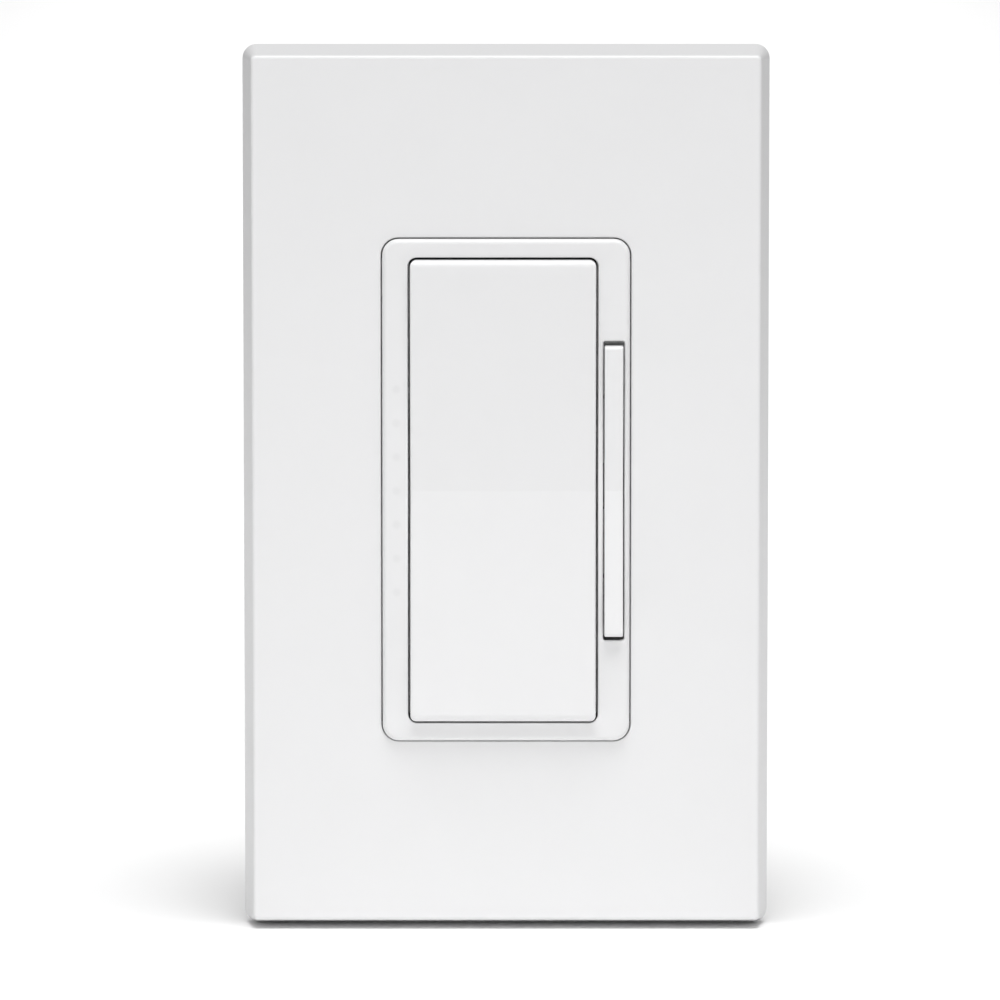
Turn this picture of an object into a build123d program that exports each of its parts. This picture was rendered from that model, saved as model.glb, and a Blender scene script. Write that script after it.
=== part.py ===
from build123d import *
import math
import os

# In-wall dimmer: a screwless wall plate around a framed rocker paddle and a slim dim/bright bar,
# on a metal strap that carries a closed electronics housing inside the wall box.
#
# Millimetres. X is to the right, Z is up, and Y points into the wall. The wall's face is Y = 0, so
# everything in the room has a negative Y. The origin is midway between the two wall-box screws.

# ----------------------------------------------------------------------------------------------
# Driving dimensions
# ----------------------------------------------------------------------------------------------

# Wall plate: a cover whose sides lean in from the rim on the wall to the face
PLATE_WIDTH = 69.85
PLATE_HEIGHT = 117.6
PLATE_DEPTH = 6.4
PLATE_WALL = 1.6
PLATE_LEAN = 1.3            # how far each side leans in over the depth
PLATE_RIM_CORNER = 1.9
PLATE_FACE_ROUND = 0.5
WINDOW_GAP = 0.15           # between the bezel and the plate's window
WINDOW_ROUND = 0.2
WINDOW_SKIRT_WALL = 1.0
WINDOW_SKIRT_DEPTH = 1.6

# Catches inside the plate, and the subplate that they click into
CATCH_LENGTH = 8.0
CATCH_HEIGHT = 0.7
CATCH_THICK = 0.6
CATCH_DEPTH = 1.0           # behind the wall's face
CATCH_Z = 34.0
CATCH_GAP = 0.2
CATCH_END_GAP = 0.4         # at each end of a catch, in its groove
SUBPLATE_THICK = 1.4
SUBPLATE_WALL = 1.2
SUBPLATE_RAISE = 0.4        # its rim stops this far short of the wall
SUBPLATE_GAP = 0.35         # to the plate around it
SUBPLATE_WINDOW_GAP = 0.4

# Screws of the plate (6-32, 3.81 in apart) and of the wall box (6-32, 3.28 in apart)
PLATE_SCREW_SPACING = 96.8
BOX_SCREW_SPACING = 83.34
SCREW_RADIUS = 1.75
SCREW_NECK_RADIUS = 1.55    # the box screws are necked where the washers hold them captive
SCREW_HEAD_RADIUS = 3.2
SCREW_HEAD_HEIGHT = 1.6
SCREW_SLOT = 1.0
SCREW_SLOT_REACH = 0.75     # of the head's radius
SCREW_GAP = 0.1
BOX_SCREW_LENGTH = 17.0     # behind the wall's face
PLATE_SCREW_LENGTH = 6.0    # behind the wall's face
PLATE_SCREW_HEAD_RADIUS = 3.1
PLATE_SCREW_HEAD_DEPTH = 1.5
PLATE_SCREW_SUNK = 0.2
SCREW_BOSS_RADIUS = 4.2
SCREW_BOSS_HEIGHT = 0.9
BOX_SCREW_WINDOW = 8.2      # clearance window in the subplate, square
BOX_WINDOW_WALL = 0.2       # left between that window and the plate screw's countersink
WASHER_SIZE = 7.0
WASHER_THICK = 0.45

# Mounting strap
STRAP_THICK = 1.6
STRAP_BODY_WIDTH = 44.0
STRAP_BODY_HEIGHT = 72.0
STRAP_EAR_WIDTH = 34.0
STRAP_HEIGHT = 104.8
STRAP_CORNER = 1.5
EAR_SLOT_WIDTH = 1.2
EAR_SLOT_DEPTH = 5.5
EAR_SLOT_X = 8.5
BOX_SLOT_WIDTH = 6.5
BOX_SLOT_HEIGHT = 4.0
GROUND_TAB_X = 9.75
GROUND_TAB_WIDTH = 7.5
GROUND_TAB_LENGTH = 9.0
GROUND_TAB_THICK = 1.2
GROUND_TAB_DROP = 1.4       # below the strap's wide body
GROUND_SCREW_RADIUS = 2.0
GROUND_HEAD_RADIUS = 3.9
GROUND_HEAD_HEIGHT = 2.2
GROUND_SCREW_REACH = 2.0

# Bezel frame that stands through the window
BEZEL_PROUD = 0.9           # in front of the plate's face
BEZEL_MARGIN_ENDS = 2.425   # past the paddle's opening, above and below
BEZEL_MARGIN_LEFT = 3.4
BEZEL_MARGIN_RIGHT = 4.2
BEZEL_CORNER = 2.2
BEZEL_ROUND = 0.65
OPENING_ROUND = 0.15
CLIP_WIDTH = 3.0
CLIP_THICK = 1.0
CLIP_HOOK = 0.7
CLIP_GAP = 0.15
BEZEL_CLIP_X = 8.0
BEZEL_CLIP_INSET = 1.175    # from the bezel's end to the clip's outer face

# Paddle: a shallow V that rocks about a pin behind its crease
PADDLE_WIDTH = 24.57
PADDLE_HEIGHT = 61.3
PADDLE_X = -0.4
PADDLE_GAP = 0.29           # to its opening, at each side
PADDLE_END_GAP = 0.3
PADDLE_CORNER = 0.9
PADDLE_END_ROUND = 0.9
PADDLE_SIDE_ROUND = 0.25
PADDLE_CREASE_SUNK = -0.1   # in front of the bezel's face, so a minus sign is behind it
PADDLE_DISH = 1.6           # the ends stand this far in front of the crease
PADDLE_WALL = 1.2
PADDLE_SKIRT = 1.8          # the sides' depth behind the crease
PIVOT_DEPTH = 2.8           # pin axis behind the paddle's crease
PIN_RADIUS = 0.75
RUN_GAP = 0.05              # radial gap where a piece turns or slides on another
HOLD_GAP = 0.01             # radial gap where a pin is held
LUG_RADIUS = 1.4
LUG_WIDTH = 1.6
LUG_OUT = 11.3              # from the paddle's middle to a lug's outer face
EAR_RADIUS = 1.3
EAR_THICK = 1.5
EAR_LUG_GAP = 0.2

# Carrier plate behind the paddle
CARRIER_THICK = 1.1
CARRIER_GAP = 0.15
CARRIER_CLIP_Z = 27.0
GUIDE_RADIUS = 2.2
GUIDE_HOLE_GAP = 0.3        # between a guide and the strap's hole
GUIDE_SHORT = 0.1           # the guides stop this far inside the strap

# Plungers that pass the paddle's push to the switches
PLUNGER_Z = 20.0
PLUNGER_RADIUS = 1.0
PLUNGER_FLANGE_RADIUS = 1.7
PLUNGER_FLANGE = 0.7
PLUNGER_HEAD_RADIUS = 1.35
PLUNGER_HEAD = 0.5
PLUNGER_GAP = 0.15          # under the paddle or the bar at rest
PLUNGER_STROKE = 0.65
PADDLE_SPRING_RADIUS = 1.45
PADDLE_SPRING_WIRE = 0.3
PADDLE_SPRING_TURNS = 5

# Dim bar, in its own slot at the right
BAR_WIDTH = 2.47
BAR_LENGTH = 38.6
BAR_SIDE_GAP = 0.165
BAR_END_GAP = 0.6
BAR_PROUD = 0.1
BAR_DISH = 1.5
BAR_THICK = 1.8             # at its crease
BAR_END_ROUND = 0.5
BAR_SIDE_ROUND = 0.2
BAR_FROM_PADDLE = 0.675     # wall between the paddle's opening and the slot
BAR_SLOT_CORNER = 0.3
BAR_SLOT_BEVEL = 45         # degrees, at the slot's front edge
BAR_PIN_RADIUS = 0.5
BAR_PIN_DEPTH = 1.2         # pin axis behind the bar's back
BAR_LUG_RADIUS = 1.0
BAR_LUG_WIDTH = 1.0
BAR_PLUNGER_Z = 12.0
BAR_PLUNGER_RADIUS = 0.6
BAR_PLUNGER_FLANGE = 0.6
BAR_PLUNGER_STROKE = 0.55
BAR_PLUNGER_FLANGE_RADIUS = 1.0
BAR_PLUNGER_HEAD_RADIUS = 0.85
BAR_PLUNGER_HEAD = 0.4
BAR_PLUNGER_HOLE_RADIUS = 1.3
BAR_SPRING_RADIUS = 0.8
BAR_SPRING_WIRE = 0.22
BAR_SPRING_TURNS = 4

# Air-gap slider: the bar rides on it, and pulling it out opens the mains contacts
SLIDER_WIDTH = 2.4
SLIDER_HALF_HEIGHT = 14.0
SLIDER_THICK = 1.4
SLIDER_LIFT = 0.1           # in front of the strap
SLIDER_EAR = 0.6
SLIDER_EAR_RADIUS = 1.0
SLIDER_TAIL_HALF = 3.0
SLIDER_TAIL_END = 10.0
SLIDER_TRAVEL = 3.0
SLIDER_STOP_GAP = 0.3       # left between stop and strap when it is pulled out
SLIDER_STOP_HALF = 4.2
SLIDER_STOP_THICK = 1.0
SLIDER_SLOT_GAP = 0.15
BLADE_THICK = 0.6
BLADE_HALF_HEIGHT = 4.8
CONTACT_GAP = 0.05
CONTACT_WIDTH = 1.0
CONTACT_THICK = 0.6
CONTACT_Z = 3.8

# Level lights at the left
LEVEL_COUNT = 7
LEVEL_PITCH = 4.5
LEVEL_X = -14.5
LEVEL_SKIN = 0.6            # bezel left in front of each light
LEVEL_PRONG = 1.2
LEVEL_PRONG_GAP = 0.15
RAIL_WIDTH = 1.4
RAIL_GAP = 0.1
RAIL_HALF_HEIGHT = 15.5
RAIL_FRONT = 1.2            # bezel's thickness in front of the rail's channel
RAIL_THICK = 2.4
RAIL_RAISE = 0.4            # in front of the strap
LIGHT_SLOT_WIDTH = 2.2
LED_WIDTH = 1.6
LED_HEIGHT = 1.2
LED_THICK = 0.8
LED_GAP = 0.3

# Housing behind the strap
HOUSING_WIDTH = 43.5
HOUSING_HEIGHT = 70.0
HOUSING_DEPTH = 33.0
HOUSING_WALL = 1.8
HOUSING_BACK = 3.5
HOUSING_CORNER = 3.0
HOUSING_INNER_CORNER = 1.2
POST_X = 17.6
POST_Z = 31.0
POST_FRONT_RADIUS = 2.1
POST_MIDDLE_RADIUS = 2.7
POST_BACK_RADIUS = 3.3
HOUSING_SCREW_RADIUS = 1.2
HOUSING_SCREW_HEAD_RADIUS = 2.1
HOUSING_SCREW_HEAD_HEIGHT = 1.5
HOUSING_SCREW_SUNK = 0.3
STRAP_SCREW_SHORT = 0.4     # a screw from behind ends this far inside the strap

# Circuit boards
BOARD_GAP = 0.65            # to the housing's walls
BOARD_CORNER = 1.0
CONTROL_BOARD_Y = 5.6
CONTROL_BOARD_THICK = 1.2
POWER_BOARD_Y = 24.0
POWER_BOARD_THICK = 1.6
POST_GAP = 0.05
PART_GAP = 0.4              # around a piece that passes through a board

# Tact switches on the control board
SWITCH_SIZE = 6.0
SWITCH_THICK = 3.1
SWITCH_STEM_RADIUS = 1.7
SWITCH_STEM_OUT = 0.7
SWITCH_STEM_IN = 0.4
SWITCH_TRAVEL = 0.25
SWITCH_FLOOR_GAP = 0.15

# Power transistors, clamped to the strap as their heat sink
TRANSISTOR_X = (-6.8, 4.8)
TRANSISTOR_WIDTH = 10.0
TRANSISTOR_HALF_HEIGHT = 8.0
TRANSISTOR_THICK = 4.4
TRANSISTOR_TAB_THICK = 1.3
TRANSISTOR_TAB_Z = 1.0      # where the moulded body ends and the bare tab begins
TRANSISTOR_HOLE_Z = 4.8
TRANSISTOR_LEAD_PITCH = 2.54
TRANSISTOR_LEAD_WIDTH = 0.8
TRANSISTOR_LEAD_THICK = 0.6
TRANSISTOR_LEAD_DROP = 1.9
PAD_THICK = 0.3
PAD_MARGIN = 0.6
TRANSISTOR_SCREW_RADIUS = 1.2
TRANSISTOR_SCREW_HEAD_RADIUS = 2.5
TRANSISTOR_SCREW_HEAD = 1.8

# Side terminals, two on each side
TERMINAL_Z = 12.5
POCKET_HALF = 6.0
POCKET_FLOOR_X = 14.25
POCKET_WALL = 1.2
POCKET_FRONT_Y = 17.5
TERMINAL_Y = 23.5
BRACKET_THICK = 1.1
BRACKET_HALF_Y = 4.5
BRACKET_HALF_Z = 5.0
WIRE_GAP = 2.55
CLAMP_THICK = 1.1
CLAMP_HALF_Y = 4.1
CLAMP_HALF_Z = 4.6
TERMINAL_SCREW_RADIUS = 1.75
TERMINAL_HEAD_RADIUS = 3.5
TERMINAL_HEAD_HEIGHT = 2.2
TERMINAL_SCREW_END = 13.4
WIRE_HOLE_RADIUS = 1.3
WIRE_HOLE_OFFSET = 3.4
LEG_WIDTH = 2.0
LEG_END_X = 10.5
LEG_THICK = 1.2
LEG_GAP = 0.15

# Power supply parts on the power board, each as its place (x, z) and its sizes
TOROID_PLACE = (0.0, 3.0)
TOROID_OUTER = 8.6
TOROID_INNER = 4.6
TOROID_HEIGHT = 6.0
WINDING_WIRE = 0.9
WINDING_LOOPS = 18
WINDING_GAP = 0.05          # around the core's section
ELECTROLYTIC_PLACE = (-6.5, 25.5)
ELECTROLYTIC_RADIUS = 5.0
ELECTROLYTIC_HEIGHT = 14.0
ELECTROLYTIC_ROUND = 0.5
FILM_PLACE = (6.5, 26.5)
FILM_SIZE = (13.0, 12.0, 6.0)
VARISTOR_PLACE = (-9.0, -24.0)
VARISTOR_RADIUS = 6.5
VARISTOR_THICK = 4.0
VARISTOR_LEAD_RADIUS = 0.4
VARISTOR_RAISE = 1.0
FUSE_PLACE = (9.5, -24.5)
FUSE_RADIUS = 2.4
FUSE_GLASS_RADIUS = 2.05
FUSE_LENGTH = 13.0
FUSE_CAP = 2.5
TRANSFORMER_PLACE = (1.0, -22.5)
TRANSFORMER_SIZE = (10.0, 11.0, 12.0)
TRANSFORMER_BOBBIN = (6.0, 9.0, 14.5)
RECTIFIER_PLACE = (0.0, 17.0)
RECTIFIER_SIZE = (8.0, 3.6, 4.0)
HEADER_PLACE = (-14.3, 24.3)
HEADER_SIZE = (2.5, 7.5)
HEADER_PINS = 3
HEADER_PIN = 0.64
HEADER_PITCH = 2.54
CONTROLLER_SIZE = (7.0, 1.0, 7.0)
CONTROLLER_PLACE = (0.0, 15.0)
RESISTOR_SIZE = (1.6, 0.6, 3.2)
RESISTOR_PITCH = 3.0
RESISTOR_COUNT = 6
RESISTOR_PLACE = (-7.5, -16.0)

# Edges this close to a level lie on it
LEVEL_TOLERANCE = 0.01

# ----------------------------------------------------------------------------------------------
# Levels and places that follow from the driving dimensions
# ----------------------------------------------------------------------------------------------

plate_face = -PLATE_DEPTH
plate_inside = plate_face + PLATE_WALL
lean_per_depth = PLATE_LEAN / PLATE_DEPTH
plate_taper = math.degrees(math.atan(lean_per_depth))
skirt_end = plate_inside + WINDOW_SKIRT_DEPTH

strap_front = -STRAP_THICK
subplate_front = strap_front - SUBPLATE_THICK
subplate_back = -SUBPLATE_RAISE
box_screw_z = BOX_SCREW_SPACING / 2
plate_screw_z = PLATE_SCREW_SPACING / 2

opening_width = PADDLE_WIDTH + 2 * PADDLE_GAP
opening_height = PADDLE_HEIGHT + 2 * PADDLE_END_GAP
opening_corner = PADDLE_CORNER + PADDLE_GAP
bezel_face = plate_face - BEZEL_PROUD
bezel_left = PADDLE_X - opening_width / 2 - BEZEL_MARGIN_LEFT
bezel_right = PADDLE_X + opening_width / 2 + BEZEL_MARGIN_RIGHT
bezel_width = bezel_right - bezel_left
bezel_x = (bezel_left + bezel_right) / 2
bezel_height = opening_height + 2 * BEZEL_MARGIN_ENDS
bezel_clip_z = bezel_height / 2 - BEZEL_CLIP_INSET
window_width = bezel_width + 2 * WINDOW_GAP
window_height = bezel_height + 2 * WINDOW_GAP
window_corner = BEZEL_CORNER + WINDOW_GAP

paddle_crease = bezel_face - PADDLE_CREASE_SUNK
paddle_ends = paddle_crease - PADDLE_DISH
paddle_back = paddle_crease + PADDLE_SKIRT
paddle_slope = PADDLE_DISH / (PADDLE_HEIGHT / 2)
flange_outer_z = PLUNGER_Z - PLUNGER_FLANGE_RADIUS
paddle_flange_front = paddle_crease + PADDLE_WALL - paddle_slope * flange_outer_z + PLUNGER_GAP
pivot_y = paddle_crease + PIVOT_DEPTH
carrier_front = strap_front - CARRIER_THICK
lug_inner = LUG_OUT - LUG_WIDTH
ear_outer = lug_inner - EAR_LUG_GAP
pin_half = LUG_OUT - 2 * HOLD_GAP

slot_width = BAR_WIDTH + 2 * BAR_SIDE_GAP
slot_height = BAR_LENGTH + 2 * BAR_END_GAP
bar_x = PADDLE_X + opening_width / 2 + BAR_FROM_PADDLE + slot_width / 2
bar_crease = bezel_face - BAR_PROUD
bar_ends = bar_crease - BAR_DISH
bar_back = bar_crease + BAR_THICK
bar_pin_y = bar_back + BAR_PIN_DEPTH
bar_flange_front = bar_back + PLUNGER_GAP
slider_back = strap_front - SLIDER_LIFT
slider_front = slider_back - SLIDER_THICK
slider_stop = SLIDER_TRAVEL + SLIDER_STOP_GAP

switch_front = CONTROL_BOARD_Y - SWITCH_THICK
stem_front = switch_front - SWITCH_STEM_OUT
control_board_back = CONTROL_BOARD_Y + CONTROL_BOARD_THICK
power_board_back = POWER_BOARD_Y + POWER_BOARD_THICK
housing_floor = HOUSING_DEPTH - HOUSING_BACK
board_width = HOUSING_WIDTH - 2 * (HOUSING_WALL + BOARD_GAP)
board_height = HOUSING_HEIGHT - 2 * (HOUSING_WALL + BOARD_GAP)

ground_tab_top = -STRAP_BODY_HEIGHT / 2 - GROUND_TAB_DROP
ground_tab_bottom = ground_tab_top - GROUND_TAB_THICK
ground_screw_y = GROUND_TAB_LENGTH - GROUND_HEAD_RADIUS

bracket_front = POCKET_FLOOR_X + BRACKET_THICK
clamp_inner = bracket_front + WIRE_GAP
clamp_outer = clamp_inner + CLAMP_THICK
wire_x = (bracket_front + clamp_inner) / 2
terminal_head_outer = clamp_outer + TERMINAL_HEAD_HEIGHT
level_places = [(i - (LEVEL_COUNT - 1) / 2) * LEVEL_PITCH for i in range(LEVEL_COUNT)]
bar_switches = [(bar_x, BAR_PLUNGER_Z), (bar_x, -BAR_PLUNGER_Z)]
paddle_switches = [(PADDLE_X, PLUNGER_Z), (PADDLE_X, -PLUNGER_Z)]
post_places = [(sx * POST_X, sz * POST_Z) for sx in (-1, 1) for sz in (-1, 1)]
terminal_places = [(sx, sz * TERMINAL_Z) for sx in (-1, 1) for sz in (-1, 1)]


# ----------------------------------------------------------------------------------------------
# Shapes that repeat
# ----------------------------------------------------------------------------------------------

def block(xs, ys, zs):
    """A box between two X, two Y and two Z values, in either order."""
    spans = [sorted(pair) for pair in (xs, ys, zs)]
    centre = [(low + high) / 2 for low, high in spans]
    return Pos(*centre) * Box(*[high - low for low, high in spans])


def rod_x(y, z, radius, xs):
    """A cylinder along X."""
    low, high = sorted(xs)
    return Pos((low + high) / 2, y, z) * Rot(0, 90, 0) * Cylinder(radius, high - low)


def rod_y(x, z, radius, ys):
    """A cylinder along Y."""
    low, high = sorted(ys)
    return Pos(x, (low + high) / 2, z) * Rot(90, 0, 0) * Cylinder(radius, high - low)


def rod_z(x, y, radius, zs):
    """A cylinder along Z."""
    low, high = sorted(zs)
    return Pos(x, y, (low + high) / 2) * Cylinder(radius, high - low)


def cone_y(x, z, front_radius, back_radius, ys):
    """A cone along Y, with its radii at the low (front) and high (back) values of Y."""
    low, high = sorted(ys)
    return Pos(x, (low + high) / 2, z) * Rot(90, 0, 0) * Cone(back_radius, front_radius, high - low)


def slab(width, height, corner, ys, x=0, z=0, taper=0):
    """A rounded rectangle in X and Z between two Y values, narrowing to the front by taper degrees."""
    low, high = sorted(ys)
    outline = Plane.XZ.offset(-high) * Pos(x, z) * RectangleRounded(width, height, corner)
    return extrude(outline, high - low, taper=taper)


def side_profile(points, xs):
    """A closed outline of (y, z) points, extruded along X."""
    low, high = sorted(xs)
    face = make_face(Polyline(*points, close=True))
    return extrude(Plane.YZ.offset(low) * face, high - low)


def group(shapes):
    """Separate solids that share one node."""
    return Part() + list(shapes)


def edges_at(solid, y):
    """The edges of a piece that lie at one Y value."""
    return solid.edges().filter_by_position(Axis.Y, y - LEVEL_TOLERANCE, y + LEVEL_TOLERANCE)


def round_openings(solid, radius):
    """Round the front edges of the openings in a piece's front face."""
    front = solid.faces().sort_by(Axis.Y)[0]
    return fillet(front.inner_wires().edges(), radius)


def coil_spring(x, z, radius, wire, turns, ys):
    """A compression spring along Y that fills the space between two Y values."""
    low, high = sorted(ys)
    length = high - low - wire
    path = Helix(pitch=length / turns, height=length, radius=radius)
    coil = sweep(Plane(path @ 0, z_dir=path % 0) * Circle(wire / 2), path, is_frenet=True)
    return Pos(x, high - wire / 2, z) * Rot(90, 0, 0) * coil


def screw_slots(x, z, radius, y_face, depth):
    """The cross of two slots cut in a screw's head, whose face is at y_face."""
    half = SCREW_SLOT / 2
    reach = SCREW_SLOT_REACH * radius
    ys = (y_face, y_face + depth)
    return block((x - half, x + half), ys, (z - reach, z + reach)) + block(
        (x - reach, x + reach), ys, (z - half, z + half)
    )


def snap_clip(x, z_outer, root):
    """A clip through the strap whose hook catches behind it, away from the middle.

    z_outer is the clip's outer face, and root is the Y where it leaves its piece.
    """
    side = math.copysign(1, z_outer)
    xs = (x - CLIP_WIDTH / 2, x + CLIP_WIDTH / 2)
    hook = (CLIP_GAP, CLIP_GAP + CLIP_HOOK)
    stem = block(xs, (root, hook[1]), (z_outer - side * CLIP_THICK, z_outer))
    return stem + block(xs, hook, (z_outer, z_outer + side * CLIP_HOOK))


def clip_slot(x, z_outer):
    """The strap's slot for a snap clip."""
    side = math.copysign(1, z_outer)
    half = CLIP_WIDTH / 2 + CLIP_GAP
    zs = (z_outer - side * (CLIP_THICK + CLIP_HOOK + CLIP_GAP), z_outer + side * CLIP_GAP)
    return block((x - half, x + half), (strap_front, 0), zs)


def dished_bar(width, height, crease, ends, back, x=0):
    """A bar along Z whose front is a shallow V, extruded along X."""
    half = height / 2
    points = [(back, -half), (ends, -half), (crease, 0), (ends, half), (back, half)]
    return side_profile(points, (x - width / 2, x + width / 2))


def soften_key(key, ends, crease, x, width, end_round, side_round):
    """Round a dished key's two end edges, then the long edges down each side of its front."""
    key = fillet(edges_at(key, ends).filter_by(Axis.X), end_round)
    sides = []
    for side_x in (x - width / 2, x + width / 2):
        on_side = key.edges().filter_by_position(Axis.X, side_x - LEVEL_TOLERANCE, side_x + LEVEL_TOLERANCE)
        sides += on_side.filter_by_position(Axis.Y, ends - LEVEL_TOLERANCE, crease + LEVEL_TOLERANCE)
    return fillet(sides, side_round)


# ----------------------------------------------------------------------------------------------
# Wall plate and subplate
# ----------------------------------------------------------------------------------------------

def plate_form(inset, ys):
    """The wall plate's tapered form drawn in by inset, between two Y values."""
    back = max(ys)
    shrink = inset - lean_per_depth * back
    corner = PLATE_RIM_CORNER + lean_per_depth * back
    width = PLATE_WIDTH - 2 * shrink
    height = PLATE_HEIGHT - 2 * shrink
    return slab(width, height, corner, ys, taper=plate_taper)


def catch_blocks(height, thick, length):
    """Four bars on the side walls, standing height in from the plate's inner wall."""
    wall = PLATE_WIDTH / 2 - PLATE_WALL - lean_per_depth * CATCH_DEPTH
    ys = (-CATCH_DEPTH - thick / 2, -CATCH_DEPTH + thick / 2)
    bars = []
    for side in (-1, 1):
        for z in (-CATCH_Z, CATCH_Z):
            xs = (side * (wall - height), side * (wall + PLATE_WALL / 2))
            bars.append(block(xs, ys, (z - length / 2, z + length / 2)))
    return group(bars)


def faceplate():
    """Screwless wall plate: thin cover, window with a skirt, catches on the inner side walls."""
    body = plate_form(0, (plate_face, 0))
    body = fillet(edges_at(body, plate_face), PLATE_FACE_ROUND)
    body -= plate_form(PLATE_WALL, (plate_inside, 0))
    skirt_width = window_width + 2 * WINDOW_SKIRT_WALL
    skirt_height = window_height + 2 * WINDOW_SKIRT_WALL
    skirt_corner = window_corner + WINDOW_SKIRT_WALL
    body += slab(skirt_width, skirt_height, skirt_corner, (plate_inside, skirt_end), x=bezel_x)
    body -= slab(window_width, window_height, window_corner, (plate_face, skirt_end), x=bezel_x)
    body = round_openings(body, WINDOW_ROUND)
    return body + catch_blocks(CATCH_HEIGHT, CATCH_THICK, CATCH_LENGTH)


def subplate():
    """Adapter tray that is screwed to the strap and carries the wall plate."""
    inset = PLATE_WALL + SUBPLATE_GAP
    tray = plate_form(inset, (subplate_front, subplate_back))
    tray -= plate_form(inset + SUBPLATE_WALL, (strap_front, subplate_back))
    margin = WINDOW_SKIRT_WALL + SUBPLATE_WINDOW_GAP
    tray -= slab(
        window_width + 2 * margin,
        window_height + 2 * margin,
        window_corner + margin,
        (subplate_front, strap_front),
        x=bezel_x,
    )
    boss_front = subplate_front - SCREW_BOSS_HEIGHT
    head_front = boss_front + PLATE_SCREW_SUNK
    half = BOX_SCREW_WINDOW / 2
    head_radius = PLATE_SCREW_HEAD_RADIUS + SCREW_GAP
    hole_radius = SCREW_RADIUS + SCREW_GAP
    window_outer = plate_screw_z - head_radius - BOX_WINDOW_WALL
    for side in (-1, 1):
        z = side * plate_screw_z
        tray += rod_y(0, z, SCREW_BOSS_RADIUS, (boss_front, subplate_front))
        window = (side * (window_outer - BOX_SCREW_WINDOW), side * window_outer)
        tray -= block((-half, half), (boss_front, strap_front), window)
        tray -= rod_y(0, z, head_radius, (boss_front, head_front))
        cone_end = head_front + PLATE_SCREW_HEAD_DEPTH
        tray -= cone_y(0, z, head_radius, hole_radius, (head_front, cone_end))
        tray -= rod_y(0, z, hole_radius, (head_front, strap_front))
    thick = CATCH_THICK + 2 * CATCH_GAP
    return tray - catch_blocks(CATCH_HEIGHT + CATCH_GAP, thick, CATCH_LENGTH + 2 * CATCH_END_GAP)


def subplate_screws():
    """Two countersunk screws through the subplate into the strap's threaded holes."""
    front = subplate_front - SCREW_BOSS_HEIGHT + PLATE_SCREW_SUNK
    cone_end = front + PLATE_SCREW_HEAD_DEPTH
    shank = SCREW_RADIUS - SCREW_GAP
    screws = []
    for z in (-plate_screw_z, plate_screw_z):
        screw = cone_y(0, z, PLATE_SCREW_HEAD_RADIUS, shank, (front, cone_end))
        screw += rod_y(0, z, shank, (cone_end, PLATE_SCREW_LENGTH))
        screws.append(screw - screw_slots(0, z, PLATE_SCREW_HEAD_RADIUS, front, PLATE_SCREW_HEAD_DEPTH / 2))
    return group(screws)


# ----------------------------------------------------------------------------------------------
# Strap and its fasteners
# ----------------------------------------------------------------------------------------------

def mounting_strap():
    """Metal strap: wide body behind the bezel, narrower ears, and a ground tab bent back."""
    ys = (strap_front, 0)
    strap = slab(STRAP_BODY_WIDTH, STRAP_BODY_HEIGHT, STRAP_CORNER, ys)
    strap += slab(STRAP_EAR_WIDTH, STRAP_HEIGHT, STRAP_CORNER, ys)
    for side in (-1, 1):
        box_slot = Plane.XZ * Pos(0, side * box_screw_z) * SlotOverall(BOX_SLOT_WIDTH, BOX_SLOT_HEIGHT)
        strap -= extrude(box_slot, STRAP_THICK)
        strap -= rod_y(0, side * plate_screw_z, SCREW_RADIUS, ys)
        for x in (-EAR_SLOT_X, EAR_SLOT_X):
            xs = (x - EAR_SLOT_WIDTH / 2, x + EAR_SLOT_WIDTH / 2)
            tip = side * STRAP_HEIGHT / 2
            strap -= block(xs, ys, (tip, tip - side * EAR_SLOT_DEPTH))
        for x in (bezel_x - BEZEL_CLIP_X, bezel_x + BEZEL_CLIP_X):
            strap -= clip_slot(x, side * bezel_clip_z)
        strap -= clip_slot(PADDLE_X, side * CARRIER_CLIP_Z)
    for x, z in paddle_switches:
        strap -= rod_y(x, z, GUIDE_RADIUS + GUIDE_HOLE_GAP, ys)
    for x, z in bar_switches:
        strap -= rod_y(x, z, BAR_PLUNGER_HOLE_RADIUS, ys)
    for x, z in post_places:
        strap -= rod_y(x, z, HOUSING_SCREW_RADIUS + RUN_GAP, ys)
    for x in TRANSISTOR_X:
        strap -= rod_y(x, TRANSISTOR_HOLE_Z, TRANSISTOR_SCREW_RADIUS + RUN_GAP, ys)
    tail_half_x = SLIDER_WIDTH / 2 + SLIDER_SLOT_GAP
    tail_half_z = SLIDER_TAIL_HALF + SLIDER_SLOT_GAP
    strap -= block((bar_x - tail_half_x, bar_x + tail_half_x), ys, (-tail_half_z, tail_half_z))
    light_half = RAIL_HALF_HEIGHT + LEVEL_PRONG_GAP
    light_xs = (LEVEL_X - LIGHT_SLOT_WIDTH / 2, LEVEL_X + LIGHT_SLOT_WIDTH / 2)
    strap -= block(light_xs, ys, (-light_half, light_half))
    return add_ground_tab(strap)


def add_ground_tab(strap):
    """The tab is lanced from the lower ear, which leaves a window of the tab's own length."""
    xs = (GROUND_TAB_X - GROUND_TAB_WIDTH / 2, GROUND_TAB_X + GROUND_TAB_WIDTH / 2)
    window_end = ground_tab_bottom - GROUND_TAB_LENGTH + STRAP_THICK
    tab = (ground_tab_bottom, ground_tab_top)
    strap -= block(xs, (strap_front, 0), (ground_tab_bottom, window_end))
    strap += block(xs, (strap_front, GROUND_TAB_LENGTH), tab)
    return strap - rod_z(GROUND_TAB_X, ground_screw_y, GROUND_SCREW_RADIUS + RUN_GAP, tab)


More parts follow.
